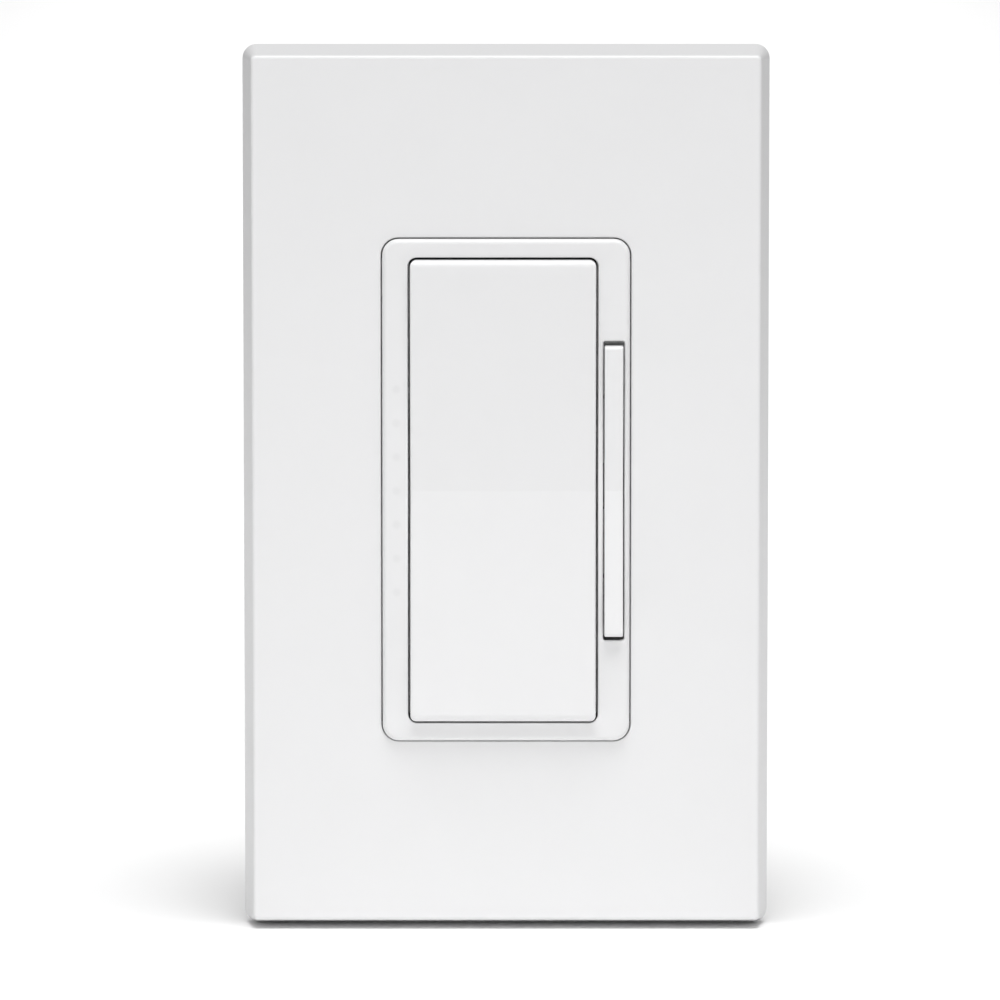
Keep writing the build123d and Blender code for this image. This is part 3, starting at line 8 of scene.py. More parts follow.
import bmesh
import bpy
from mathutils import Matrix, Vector

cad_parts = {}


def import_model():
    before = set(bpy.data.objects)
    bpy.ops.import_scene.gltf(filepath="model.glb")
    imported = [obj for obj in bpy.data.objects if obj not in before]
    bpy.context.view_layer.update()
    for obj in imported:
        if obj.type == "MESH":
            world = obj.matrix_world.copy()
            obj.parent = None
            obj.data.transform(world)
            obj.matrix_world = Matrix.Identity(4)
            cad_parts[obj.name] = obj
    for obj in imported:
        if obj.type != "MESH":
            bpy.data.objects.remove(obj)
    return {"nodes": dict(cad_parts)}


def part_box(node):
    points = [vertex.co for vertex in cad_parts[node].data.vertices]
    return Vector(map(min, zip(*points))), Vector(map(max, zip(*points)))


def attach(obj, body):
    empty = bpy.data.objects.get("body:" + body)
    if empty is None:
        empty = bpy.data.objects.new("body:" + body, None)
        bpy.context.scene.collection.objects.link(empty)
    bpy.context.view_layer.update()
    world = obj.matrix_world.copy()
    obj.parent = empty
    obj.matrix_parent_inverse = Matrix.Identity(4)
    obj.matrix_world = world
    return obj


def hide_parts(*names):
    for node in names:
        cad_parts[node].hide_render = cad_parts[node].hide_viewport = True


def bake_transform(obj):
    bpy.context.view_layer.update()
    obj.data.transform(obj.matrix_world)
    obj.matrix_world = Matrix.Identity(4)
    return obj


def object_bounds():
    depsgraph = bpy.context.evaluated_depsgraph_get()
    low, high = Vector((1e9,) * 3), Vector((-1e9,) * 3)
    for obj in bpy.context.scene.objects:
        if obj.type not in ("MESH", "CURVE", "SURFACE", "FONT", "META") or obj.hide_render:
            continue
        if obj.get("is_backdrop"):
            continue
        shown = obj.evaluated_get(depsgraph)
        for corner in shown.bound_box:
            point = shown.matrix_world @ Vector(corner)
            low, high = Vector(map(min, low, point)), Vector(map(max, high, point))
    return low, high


LOG = logging.getLogger("dimmer")
MM = 0.001

Colour = tuple[float, float, float]


# ------------------------------------------------------------------------------------------
# Shader bench
# ------------------------------------------------------------------------------------------


class ShaderBench:
    """Builds one node material around a Principled shader."""

    def __init__(self, name: str) -> None:
        """Start an empty material.

        Args:
            name: The material's name.
        """
        self.material = bpy.data.materials.new(name)
        self.material.use_nodes = True
        self.tree = self.material.node_tree
        self.tree.nodes.clear()
        self.output = self.tree.nodes.new("ShaderNodeOutputMaterial")
        self.shader = self.tree.nodes.new("ShaderNodeBsdfPrincipled")
        self.tree.links.new(self.shader.outputs["BSDF"], self.output.inputs["Surface"])
        self.place = self.tree.nodes.new("ShaderNodeTexCoord").outputs["Object"]

    def node(self, kind: str, **inputs: float | Colour) -> bpy.types.Node:
        """Add a node and set its input sockets.

        Args:
            kind: The node's type name.
            inputs: Values by socket name, with underscores for spaces.

        Returns:
            The new node.
        """
        made = self.tree.nodes.new(kind)
        for key, value in inputs.items():
            made.inputs[key.replace("_", " ")].default_value = value
        return made

    def link(self, source: bpy.types.NodeSocket, target: bpy.types.NodeSocket) -> None:
        """Join an output socket to an input socket."""
        self.tree.links.new(source, target)

    def noise(
        self, grain: float, detail: float = 3.0, stretch: Colour = (1.0, 1.0, 1.0)
    ) -> bpy.types.NodeSocket:
        """Add a noise pattern in the object's own space.

        Args:
            grain: Size of the pattern's features, in metres.
            detail: Octaves of finer noise.
            stretch: How many times finer the pattern is along each axis.

        Returns:
            The noise's value socket.
        """
        mapping = self.tree.nodes.new("ShaderNodeMapping")
        mapping.inputs["Scale"].default_value = stretch
        self.link(self.place, mapping.inputs["Vector"])
        texture = self.node("ShaderNodeTexNoise", Scale=1.0 / grain, Detail=detail, Roughness=0.55)
        self.link(mapping.outputs["Vector"], texture.inputs["Vector"])
        return texture.outputs["Fac"]

    def spread(self, value: bpy.types.NodeSocket, low: float, high: float) -> bpy.types.NodeSocket:
        """Map a noise's middle range onto a span of values.

        Args:
            value: The noise to read.
            low: Result where the noise is low.
            high: Result where the noise is high.

        Returns:
            The mapped value socket.
        """
        mapped = self.node("ShaderNodeMapRange", From_Min=0.3, From_Max=0.7, To_Min=low, To_Max=high)
        self.link(value, mapped.inputs["Value"])
        return mapped.outputs["Result"]

    def tint(self, value: bpy.types.NodeSocket, dark: Colour, light: Colour) -> bpy.types.NodeSocket:
        """Blend two colours by a value.

        Args:
            value: Blend factor.
            dark: Colour at zero.
            light: Colour at one.

        Returns:
            The blended colour socket.
        """
        mix = self.tree.nodes.new("ShaderNodeMix")
        mix.data_type = "RGBA"
        mix.inputs["A"].default_value = (*dark, 1.0)
        mix.inputs["B"].default_value = (*light, 1.0)
        self.link(value, mix.inputs["Factor"])
        return mix.outputs["Result"]

    def step(self, value: bpy.types.NodeSocket, low: float, high: float) -> bpy.types.NodeSocket:
        """Rise smoothly from zero to one between two values.

        Args:
            value: The value to read.
            low: Where the rise begins.
            high: Where the rise ends.

        Returns:
            The risen value socket.
        """
        mapped = self.node("ShaderNodeMapRange", From_Min=low, From_Max=high)
        mapped.interpolation_type = "SMOOTHSTEP"
        self.link(value, mapped.inputs["Value"])
        return mapped.outputs["Result"]

    def darken(
        self, colour: bpy.types.NodeSocket, value: bpy.types.NodeSocket, tone: float, inverse: bool = False
    ) -> bpy.types.NodeSocket:
        """Multiply a colour by a grey tone where a value is one, or where it is zero.

        Args:
            colour: The colour to darken.
            value: How far the tone applies.
            tone: The grey that the colour is multiplied by.
            inverse: Whether the tone applies where the value is zero instead.

        Returns:
            The darkened colour socket.
        """
        plain, grey = (1.0, 1.0, 1.0), (tone, tone, tone)
        grey_layer = self.tint(value, grey, plain) if inverse else self.tint(value, plain, grey)
        mix = self.tree.nodes.new("ShaderNodeMix")
        mix.data_type = "RGBA"
        mix.blend_type = "MULTIPLY"
        mix.inputs["Factor"].default_value = 1.0
        self.link(colour, mix.inputs["A"])
        self.link(grey_layer, mix.inputs["B"])
        return mix.outputs["Result"]

    def relief(self, value: bpy.types.NodeSocket, depth: float, edge: float) -> None:
        """Give the shader a bump over softly rounded edges.

        Args:
            value: Height pattern, from zero to one.
            depth: Height of the pattern, in metres.
            edge: Radius to which sharp edges look worn, in metres.
        """
        bump = self.node("ShaderNodeBump", Strength=1.0, Distance=depth)
        self.link(value, bump.inputs["Height"])
        if edge > 0.0:
            bevel = self.node("ShaderNodeBevel", Radius=edge)
            bevel.samples = 4
            self.link(bevel.outputs["Normal"], bump.inputs["Normal"])
        self.link(bump.outputs["Normal"], self.shader.inputs["Normal"])

    def set_shader(self, **inputs: float | Colour) -> None:
        """Set constant sockets of the Principled shader."""
        for key, value in inputs.items():
            self.shader.inputs[key.replace("_", " ")].default_value = value


def shade(colour: Colour, factor: float) -> Colour:
    """Scale a colour's brightness."""
    return tuple(min(1.0, channel * factor) for channel in colour)


# ------------------------------------------------------------------------------------------
# Finishes
# ------------------------------------------------------------------------------------------


@dataclass(frozen=True)
class MouldedPlastic:
    """Injection-moulded plastic with a fine mould texture."""

    name: str
    colour: Colour
    roughness: float = 0.34
    grain: float = 0.35 * MM
    depth: float = 0.002 * MM
    mottle: float = 0.004
    edge: float = 0.12 * MM
    specular: float = 0.5

    def material(self) -> bpy.types.Material:
        """Build the finish."""
        bench = ShaderBench(self.name)
        bench.link(self.colour_field(bench), bench.shader.inputs["Base Color"])
        fine = bench.noise(self.grain, 4.0)
        rough = bench.spread(fine, self.roughness * 0.88, self.roughness * 1.12)
        bench.link(rough, bench.shader.inputs["Roughness"])
        bench.relief(fine, self.depth, self.edge)
        bench.set_shader(Specular_IOR_Level=self.specular, IOR=1.49)
        return bench.material

    def colour_field(self, bench: ShaderBench) -> bpy.types.NodeSocket:
        """Return the plastic's colour, with a faint cloud from uneven flow.

        Args:
            bench: The material being built.

        Returns:
            The colour socket.
        """
        cloud = bench.spread(bench.noise(9.0 * MM, 2.0), 0.0, 1.0)
        pale = shade(self.colour, 1.0 + self.mottle)
        deep = shade(self.colour, 1.0 - self.mottle)
        return bench.tint(cloud, deep, pale)


@dataclass(frozen=True)
class PlatedMetal:
    """Plated or bare metal with fine draw lines along one axis."""

    name: str
    colour: Colour
    roughness: float = 0.3
    grain: float = 0.12 * MM
    stretch: Colour = (1.0, 1.0, 0.08)
    depth: float = 0.0015 * MM
    patina: float = 0.12
    edge: float = 0.08 * MM

    def material(self) -> bpy.types.Material:
        """Build the finish."""
        bench = ShaderBench(self.name)
        cloud = bench.spread(bench.noise(3.0 * MM, 4.0), 0.0, 1.0)
        dull = shade(self.colour, 1.0 - self.patina)
        bright = shade(self.colour, 1.0 + self.patina / 3)
        bench.link(bench.tint(cloud, dull, bright), bench.shader.inputs["Base Color"])
        lines = bench.noise(self.grain, 3.0, self.stretch)
        rough = bench.spread(lines, self.roughness * 0.75, self.roughness * 1.3)
        bench.link(rough, bench.shader.inputs["Roughness"])
        bench.relief(lines, self.depth, self.edge)
        bench.set_shader(Metallic=1.0)
        return bench.material


@dataclass(frozen=True)
class CoatedPart:
    """Dipped, painted or sleeved component body."""

    name: str
    colour: Colour
    roughness: float = 0.3
    grain: float = 0.8 * MM
    depth: float = 0.01 * MM
    mottle: float = 0.06
    coat: float = 0.2

    def material(self) -> bpy.types.Material:
        """Build the finish."""
        bench = ShaderBench(self.name)
        wave = bench.noise(self.grain, 3.0)
        cloud = bench.spread(wave, 0.0, 1.0)
        tint = bench.tint(cloud, shade(self.colour, 1.0 - self.mottle), shade(self.colour, 1.0 + self.mottle))
        bench.link(tint, bench.shader.inputs["Base Color"])
        rough = bench.spread(wave, self.roughness * 0.8, self.roughness * 1.2)
        bench.link(rough, bench.shader.inputs["Roughness"])
        bench.relief(wave, self.depth, 0.1 * MM)
        bench.set_shader(Coat_Weight=self.coat, Coat_Roughness=0.15)
        return bench.material


@dataclass(frozen=True)
class BoardLaminate:
    """Glass-fibre board under green solder mask, with the weave just showing."""

    name: str
    mask: Colour
    weave: float = 0.4 * MM

    def material(self) -> bpy.types.Material:
        """Build the finish."""
        bench = ShaderBench(self.name)
        checks = bench.node("ShaderNodeTexChecker", Scale=1.0 / self.weave)
        bench.link(bench.place, checks.inputs["Vector"])
        cloud = bench.spread(bench.noise(2.0 * MM, 3.0), 0.0, 1.0)
        tint = bench.tint(cloud, shade(self.mask, 0.8), shade(self.mask, 1.25))
        bench.link(tint, bench.shader.inputs["Base Color"])
        bench.relief(checks.outputs["Fac"], 0.004 * MM, 0.05 * MM)
        bench.set_shader(Roughness=0.32, Coat_Weight=0.3, Coat_Roughness=0.2)
        return bench.material


@dataclass(frozen=True)
class PressedFibre:
    """Vulcanised fibre sheet."""

    name: str
    colour: Colour

    def material(self) -> bpy.types.Material:
        """Build the finish."""
        bench = ShaderBench(self.name)
        strands = bench.noise(0.25 * MM, 5.0, (1.0, 1.0, 3.0))
        cloud = bench.spread(strands, 0.0, 1.0)
        tint = bench.tint(cloud, shade(self.colour, 0.75), shade(self.colour, 1.2))
        bench.link(tint, bench.shader.inputs["Base Color"])
        bench.relief(strands, 0.02 * MM, 0.05 * MM)
        bench.set_shader(Roughness=0.8)
        return bench.material


@dataclass(frozen=True)
class ClearMoulding:
    """Clear or glass-like moulding."""

    name: str
    colour: Colour
    roughness: float = 0.12

    def material(self) -> bpy.types.Material:
        """Build the finish."""
        bench = ShaderBench(self.name)
        flow = bench.noise(1.5 * MM, 2.0)
        rough = bench.spread(flow, self.roughness * 0.7, self.roughness * 1.4)
        bench.link(rough, bench.shader.inputs["Roughness"])
        bench.relief(flow, 0.003 * MM, 0.05 * MM)
        bench.set_shader(Base_Color=(*self.colour, 1.0), Transmission_Weight=0.85, IOR=1.49)
        return bench.material


@dataclass(frozen=True)
class SeamShadePlastic(MouldedPlastic):
    """Moulded plastic whose walls get painted shade, darker the deeper they lie inside a narrow gap."""

    painted_shade_from: float = 0.0
    painted_shade_depth: float = 0.7 * MM
    painted_shade_tone: float = 0.12

    def colour_field(self, bench: ShaderBench) -> bpy.types.NodeSocket:
        """Return the plastic's colour with painted shade, dark beyond the shade's start along Y.

        Args:
            bench: The material being built.

        Returns:
            The colour socket.
        """
        split = bench.node("ShaderNodeSeparateXYZ")
        bench.link(bench.place, split.inputs["Vector"])
        # Painted shade: the colour is multiplied down towards a dark grey deeper along Y.
        deep = bench.step(split.outputs["Y"], self.painted_shade_from, self.painted_shade_from + self.painted_shade_depth)
        return bench.darken(super().colour_field(bench), deep, self.painted_shade_tone)


@dataclass(frozen=True)
class LitSkin(MouldedPlastic):
    """Bezel plastic whose thin skin lets the unlit lights behind it show as faint grey dots, and whose walls
    get painted shade deep in the seams and inside the openings.
    """

    centres: tuple[tuple[float, float], ...] = ()
    radius: float = 0.5 * MM
    softness: float = 0.6
    dimming: float = 0.05
    box: tuple[Vector, Vector] = (Vector(), Vector())
    plate_face: float = 0.0
    seam_lip: float = 0.12 * MM
    seam_shade_depth: float = 0.5 * MM
    seam_shade_tone: float = 0.1
    opening_shade_tone: float = 0.03
    rim: float = 1.2 * MM
    rim_blend: float = 0.1 * MM

    def colour_field(self, bench: ShaderBench) -> bpy.types.NodeSocket:
        """Return the plastic's colour, with a dot for each light and painted shade deep in the seams and on
        the walls inside the openings.

        Args:
            bench: The material being built.

        Returns:
            The colour socket.
        """
        base = self._light_dots(bench, super().colour_field(bench))
        split = bench.node("ShaderNodeSeparateXYZ")
        bench.link(bench.place, split.inputs["Vector"])
        # Painted shade: walls behind the plate's face turn dark with depth, and the walls inside the openings
        # do too.
        deep = bench.step(split.outputs["Y"], self.plate_face, self.plate_face + self.seam_shade_depth)
        base = bench.darken(base, deep, self.seam_shade_tone)
        return bench.darken(base, self._opening_shade_mask(bench, split), self.opening_shade_tone)

    def _light_dots(self, bench: ShaderBench, base: bpy.types.NodeSocket) -> bpy.types.NodeSocket:
        """Dim the colour over each light.

        Args:
            bench: The material being built.
            base: The colour before the dots.

        Returns:
            The dotted colour socket.
        """
        flat = bench.node("ShaderNodeVectorMath")
        flat.operation = "MULTIPLY"
        flat.inputs[1].default_value = (1.0, 0.0, 1.0)
        bench.link(bench.place, flat.inputs[0])
        core, fringe = self.radius * (1.0 - self.softness), self.radius * (1.0 + self.softness)
        for x, z in self.centres:
            distance = bench.node("ShaderNodeVectorMath")
            distance.operation = "DISTANCE"
            distance.inputs[1].default_value = (x, 0.0, z)
            bench.link(flat.outputs["Vector"], distance.inputs[0])
            near = bench.step(distance.outputs["Value"], core, fringe)
            base = bench.darken(base, near, 1.0 - self.dimming, inverse=True)
        return base

    def _opening_shade_mask(self, bench: ShaderBench, split: bpy.types.Node) -> bpy.types.NodeSocket:
        """Find the walls inside the frame's openings, behind its front edge, where painted shade goes.

        Args:
            bench: The material being built.
            split: The object's own coordinates, apart.

        Returns:
            A value socket that is one on those walls.
        """
        low, high = self.box
        lip = low.y + self.seam_lip
        inside = bench.step(split.outputs["Y"], lip, lip + self.seam_shade_depth)
        for axis, start, end in (("X", low.x, high.x), ("Z", low.z, high.z)):
            for side in (-1.0, 1.0):
                edge = (start + end) / 2 + side * ((end - start) / 2 - self.rim)
                within = bench.step(split.outputs[axis], edge, edge - side * self.rim_blend)
                both = bench.node("ShaderNodeMath")
                both.operation = "MULTIPLY"
                bench.link(inside, both.inputs[0])
                bench.link(within, both.inputs[1])
                inside = both.outputs["Value"]
        return inside


# ------------------------------------------------------------------------------------------
# Threaded screws
# ------------------------------------------------------------------------------------------


class Direction(Enum):
    """The way a screw points, from its head to its tip."""

    INTO_WALL = (0.0, 1.0, 0.0)
    OUT_OF_WALL = (0.0, -1.0, 0.0)
    UP = (0.0, 0.0, 1.0)
    LEFT = (-1.0, 0.0, 0.0)
    RIGHT = (1.0, 0.0, 0.0)


class Drive(Enum):
    """How many slots cross in a screw's head."""

    SINGLE = 1
    CROSS = 2


class HeadForm(Enum):
    """Outline of a screw's head."""

    PAN = "pan"
    HEX = "hex"
    FLAT = "flat"


@dataclass(frozen=True)
class Ring:
    """One ring of a turned mesh."""

    depth: float
    radius: float
    thread: float = 0.0
    faceted: bool = False


@dataclass
class MachineScrew:
    """One screw: a slotted head, a plain neck, and a shank with a true helical thread."""

    name: str
    seat: Vector
    direction: Direction
    length: float
    head_radius: float
    head_height: float
    shank_radius: float
    plain: float
    form: HeadForm = HeadForm.PAN
    drive: Drive = Drive.CROSS
    pitch: float = 0.794 * MM
    segments: int = 48
    rings_per_turn: int = 10
    slot_width: float = 1.0 * MM
    slot_reach: float = 0.75
    crown_steps: int = 7

    @property
    def groove(self) -> float:
        """Depth of the thread's groove."""
        return 0.56 * self.pitch

    def build(self, material: bpy.types.Material) -> bpy.types.Object:
        """Make the screw and place it.

        Args:
            material: Its finish.

        Returns:
            The screw's object.
        """
        screw = self._turn(self._rings())
        for index in range(self.drive.value):
            self._cut_slot(screw, turned=index == 1)
        axis = Vector(self.direction.value)
        place = Vector((0.0, 0.0, 1.0)).rotation_difference(axis).to_matrix().to_4x4()
        place.translation = self.seat
        screw.data.transform(place)
        screw.data.shade_smooth()
        screw.data.set_sharp_from_angle(angle=math.radians(34.0))
        screw.data.materials.clear()
        screw.data.materials.append(material)
        LOG.info("cut thread on %s", self.name)
        return screw

    def _rings(self) -> list[Ring]:
        """List the rings from the head's face to the tip."""
        rings = self._head_rings()
        start = self.head_height + self.plain
        step = self.pitch / self.rings_per_turn
        count = int((self.length - start) / step)
        for index in range(count + 1):
            depth = start + index * step
            run_in = min(1.0, (depth - start) / self.pitch)
            from_tip = (self.length - depth) / self.pitch
            taper = max(0.0, 1.0 - from_tip) * self.groove
            rings.append(Ring(depth, self.shank_radius - taper, run_in * min(1.0, from_tip)))
        rings.append(Ring(self.length, self.shank_radius - self.groove * 1.2))
        return rings

    def _head_rings(self) -> list[Ring]:
        """List the head's rings and the neck's first ring."""
        if self.form is HeadForm.FLAT:
            return [Ring(0.0, self.head_radius), Ring(self.head_height, self.shank_radius)]
        faceted = self.form is HeadForm.HEX
        flat = 0.86 if faceted else 0.5
        crown = 0.22 if faceted else 0.6
        rings = []
        for index in range(self.crown_steps + 1):
            angle = math.pi / 2 * index / self.crown_steps
            radius = self.head_radius * (flat + (1.0 - flat) * math.sin(angle))
            rings.append(Ring(self.head_height * crown * (1.0 - math.cos(angle)), radius, 0.0, faceted))
        rings.append(Ring(self.head_height, self.head_radius, 0.0, faceted))
        rings.append(Ring(self.head_height, self.shank_radius))
        return rings

    def _radius(self, ring: Ring, angle: float) -> float:
        """Return a ring's radius at one angle, with its thread and its flats."""
        radius = ring.radius
        if ring.faceted:
            sector = math.pi / 3
            radius *= math.cos(sector / 2) / math.cos(angle % sector - sector / 2)
        phase = (ring.depth / self.pitch - angle / math.tau) % 1.0
        valley = 1.0 - abs(2.0 * phase - 1.0)
        flank = min(1.0, max(0.0, (valley - 0.125) / 0.75))
        return radius - ring.thread * self.groove * flank

    def _turn(self, rings: list[Ring]) -> bpy.types.Object:
        """Make a closed mesh from the rings, with its head's face at zero.

        Args:
            rings: The rings, from the head's face to the tip.

        Returns:
            The linked object.
        """
        bench = bmesh.new()
        rows = []
        for ring in rings:
            row = []
            for index in range(self.segments):
                angle = math.tau * index / self.segments
                radius = self._radius(ring, angle)
                row.append(bench.verts.new((radius * math.cos(angle), radius * math.sin(angle), ring.depth)))
            rows.append(row)
        for upper, lower in zip(rows, rows[1:]):
            for index in range(self.segments):
                after = (index + 1) % self.segments
                bench.faces.new((upper[index], upper[after], lower[after], lower[index]))
        bench.faces.new(rows[0])
        bench.faces.new(reversed(rows[-1]))
        bmesh.ops.recalc_face_normals(bench, faces=bench.faces)
        mesh = bpy.data.meshes.new(self.name)
        bench.to_mesh(mesh)
        bench.free()
        screw = bpy.data.objects.new(self.name, mesh)
        bpy.context.scene.collection.objects.link(screw)
        return screw

    def _cut_slot(self, screw: bpy.types.Object, turned: bool) -> None:
        """Cut one slot across the head.

        Args:
            screw: The screw, before it is placed.
            turned: Whether the slot lies across the first one.
        """
        reach = self.head_radius * (1.2 if self.form is HeadForm.HEX else self.slot_reach)
        depth = self.head_height / 2
        size = (2 * reach, self.slot_width, 2 * depth)
        if turned:
            size = (size[1], size[0], size[2])
        bench = bmesh.new()
        bmesh.ops.create_cube(bench, size=1.0)
        bmesh.ops.scale(bench, vec=size, verts=bench.verts)
        cutter_mesh = bpy.data.meshes.new("slot_cutter")
        bench.to_mesh(cutter_mesh)
        bench.free()
        cutter = bpy.data.objects.new("slot_cutter", cutter_mesh)
        bpy.context.scene.collection.objects.link(cutter)
        cut = screw.modifiers.new("slot", "BOOLEAN")
        cut.operation = "DIFFERENCE"
        cut.solver = "EXACT"
        cut.object = cutter
        graph = bpy.context.evaluated_depsgraph_get()
        whole = screw.data
        screw.data = bpy.data.meshes.new_from_object(screw.evaluated_get(graph))
        screw.modifiers.clear()
        bpy.data.objects.remove(cutter, do_unlink=True)
        bpy.data.meshes.remove(cutter_mesh)
        bpy.data.meshes.remove(whole)


# ------------------------------------------------------------------------------------------
# Studio
# ------------------------------------------------------------------------------------------


@dataclass(frozen=True)
class SoftSun:
    """One broad distant light: its strength, height, turn to the right, and width, in degrees."""

    name: str
    strength: float
    elevation: float
    turn: float
    softness: float

    def shine(self) -> None:
        """Add the light to the scene."""
        data = bpy.data.lights.new(self.name, "SUN")
        data.energy = self.strength
        data.angle = math.radians(self.softness)
        rise, turn = math.radians(self.elevation), math.radians(self.turn)
        towards = Vector((math.cos(rise) * math.sin(turn), -math.cos(rise) * math.cos(turn), math.sin(rise)))
        sun = bpy.data.objects.new(self.name, data)
        sun.rotation_euler = towards.to_track_quat("Z", "Y").to_euler()
        bpy.context.scene.collection.objects.link(sun)


@dataclass
class Studio:
    """Pale floor, even surroundings, soft lights, and the camera."""

    floor_half: float = 12.0
    floor_colour: Colour = (0.95, 0.95, 0.95)
    floor_falloff_tone: float = 0.55
    floor_bright_to: float = 0.13
    floor_dim_from: float = 0.6
    surround: float = 0.34
    side_share: float = 0.6
    high_key: SoftSun = SoftSun("high_key", 2.6, 74.0, 8.0, 38.0)
    front_fill: SoftSun = SoftSun("front_fill", 0.62, 12.0, 0.0, 50.0)
    panel_size: float = 0.10
    panel_power: float = 0.030
    panel_gap: float = 0.16
    panel_rise: float = 0.035
    distance: float = 1.02
    elevation: float = 6.0
    lens: float = 275.5
    aim: Colour = (-0.0008, 0.0, -0.00196)

    def build(self, floor_z: float) -> None:
        """Make the floor, lights and camera.

        Args:
            floor_z: Height of the floor, in metres.
        """
        self._floor(floor_z)
        self._world()
        self.high_key.shine()
        self.front_fill.shine()
        self._low_panel(floor_z)
        self._camera()
        bpy.context.scene.view_settings.view_transform = "Standard"

    def _floor(self, z: float) -> None:
        """Lay a large plain floor whose colour darkens softly to the left and right, a painted falloff of
        light.

        Args:
            z: The floor's height, in metres.
        """
        mesh = bpy.data.meshes.new("floor")
        half = self.floor_half
        corners = [(-half, -half, z), (half, -half, z), (half, half, z), (-half, half, z)]
        mesh.from_pydata(corners, [], [(0, 1, 2, 3)])
        floor = bpy.data.objects.new("floor", mesh)
        bpy.context.scene.collection.objects.link(floor)
        bench = ShaderBench("floor_paper_painted_falloff")
        split = bench.node("ShaderNodeSeparateXYZ")
        bench.link(bench.place, split.inputs["Vector"])
        aside = bench.node("ShaderNodeMath")
        aside.operation = "ABSOLUTE"
        bench.link(split.outputs["X"], aside.inputs[0])
        # Painted falloff of light: the floor's colour darkens away from the middle.
        dim = bench.step(aside.outputs["Value"], self.floor_bright_to, self.floor_dim_from)
        tint = bench.tint(dim, self.floor_colour, shade(self.floor_colour, self.floor_falloff_tone))
        bench.link(tint, bench.shader.inputs["Base Color"])
        bench.set_shader(Roughness=0.9, Specular_IOR_Level=0.0)
        mesh.materials.append(bench.material)
        floor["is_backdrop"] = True

    def _world(self) -> None:
        """Surround the object with even light that falls off towards its two sides."""
        world = bpy.data.worlds.new("surround")
        bpy.context.scene.world = world
        world.use_nodes = True
        tree = world.node_tree
        background = tree.nodes["Background"]
        coords = tree.nodes.new("ShaderNodeTexCoord")
        split = tree.nodes.new("ShaderNodeSeparateXYZ")
        tree.links.new(coords.outputs["Generated"], split.inputs["Vector"])
        side = tree.nodes.new("ShaderNodeMath")
        side.operation = "ABSOLUTE"
        tree.links.new(split.outputs["X"], side.inputs[0])
        level = tree.nodes.new("ShaderNodeMapRange")
        level.inputs["To Min"].default_value = self.surround
        level.inputs["To Max"].default_value = self.surround * self.side_share
        tree.links.new(side.outputs["Value"], level.inputs["Value"])
        tree.links.new(level.outputs["Result"], background.inputs["Strength"])
        background.inputs["Color"].default_value = (1.0, 1.0, 1.0, 1.0)

    def _low_panel(self, floor_z: float) -> None:
        """Stand a small unseen panel before the lower end, so that the plate brightens downwards.

        Args:
            floor_z: Height of the floor, in metres.
        """
        data = bpy.data.lights.new("low_panel", "AREA")
        data.size = self.panel_size
        data.energy = self.panel_power
        panel = bpy.data.objects.new("low_panel", data)
        panel.location = (0.0, -self.panel_gap, floor_z + self.panel_rise)
        panel.rotation_euler = Vector((0.0, -1.0, 0.0)).to_track_quat("Z", "Y").to_euler()
        panel.visible_camera = False
        panel.visible_glossy = False
        bpy.context.scene.collection.objects.link(panel)

    def _camera(self) -> None:
        """Place the long-lens camera a little above the object's middle."""
        data = bpy.data.cameras.new("view")
        data.lens = self.lens
        data.sensor_width = 36.0
        data.clip_start = 0.01
        data.clip_end = 100.0
        camera = bpy.data.objects.new("view", data)
        tilt = math.radians(self.elevation)
        back = Vector((0.0, -math.cos(tilt), math.sin(tilt)))
        camera.location = Vector(self.aim) + back * self.distance
        camera.rotation_euler = (-back).to_track_quat("-Z", "Y").to_euler()
        bpy.context.scene.collection.objects.link(camera)
        bpy.context.scene.camera = camera


# ------------------------------------------------------------------------------------------
# Return springs
# ------------------------------------------------------------------------------------------


@dataclass
class ReturnSpring:
    """A compression spring along Y with closed end turns."""

    name: str
    front: Vector
    back: Vector
    radius: float
    wire: float
    turns: int
    end_turns: float = 0.8
    steps: int = 30
    sides: int = 10
    slack: float = 0.015 * MM

    def build(self, material: bpy.types.Material) -> bpy.types.Object:
        """Make the wound wire as one closed tube.

        Args:
            material: The wire's finish.

        Returns:
            The linked object.
        """
        bench = bmesh.new()
        rows = [self._section(bench, index) for index in range(self.turns * self.steps + 1)]
        for before, after in zip(rows, rows[1:]):
            for side in range(self.sides):
                beside = (side + 1) % self.sides
                bench.faces.new((before[side], before[beside], after[beside], after[side]))
        bench.faces.new(rows[0])
        bench.faces.new(reversed(rows[-1]))
        bmesh.ops.recalc_face_normals(bench, faces=bench.faces)
        for face in bench.faces:
            face.smooth = True
        mesh = bpy.data.meshes.new(self.name)
        bench.to_mesh(mesh)
        bench.free()
        mesh.materials.append(material)
        spring = bpy.data.objects.new(self.name, mesh)
        bpy.context.scene.collection.objects.link(spring)
        return spring

    def _section(self, bench: bmesh.types.BMesh, index: int) -> list[bmesh.types.BMVert]:
        """Make one ring of points round the wire.

        Args:
            bench: The mesh being built.
            index: The step along the wire.

        Returns:
            The ring's points.
        """
        turned = index / self.steps
        angle = math.tau * turned
        outward = Vector((math.cos(angle), 0.0, math.sin(angle)))
        centre = Vector((self.front.x, self._depth(turned), self.front.z)) + outward * self.radius
        ring = []
        for side in range(self.sides):
            around = math.tau * side / self.sides
            offset = outward * math.cos(around) + Vector((0.0, math.sin(around), 0.0))
            ring.append(bench.verts.new(centre + offset * (self.wire / 2)))
        return ring

    def _depth(self, turned: float) -> float:
        """Find where the wire's centre lies along Y.

        Args:
            turned: How many turns have been wound.

        Returns:
            The centre's Y.
        """
        first = self.front.y + self.wire / 2 + self.slack
        last = self.back.y - self.wire / 2 - self.slack
        closed = self.wire * self.end_turns
        if turned < self.end_turns:
            return first + self.wire * turned
        left = self.turns - turned
        if left < self.end_turns:
            return last - self.wire * left
        share = (turned - self.end_turns) / (self.turns - 2 * self.end_turns)
        return first + closed + share * (last - first - 2 * closed)


# ------------------------------------------------------------------------------------------
# Sub-assemblies
# ------------------------------------------------------------------------------------------


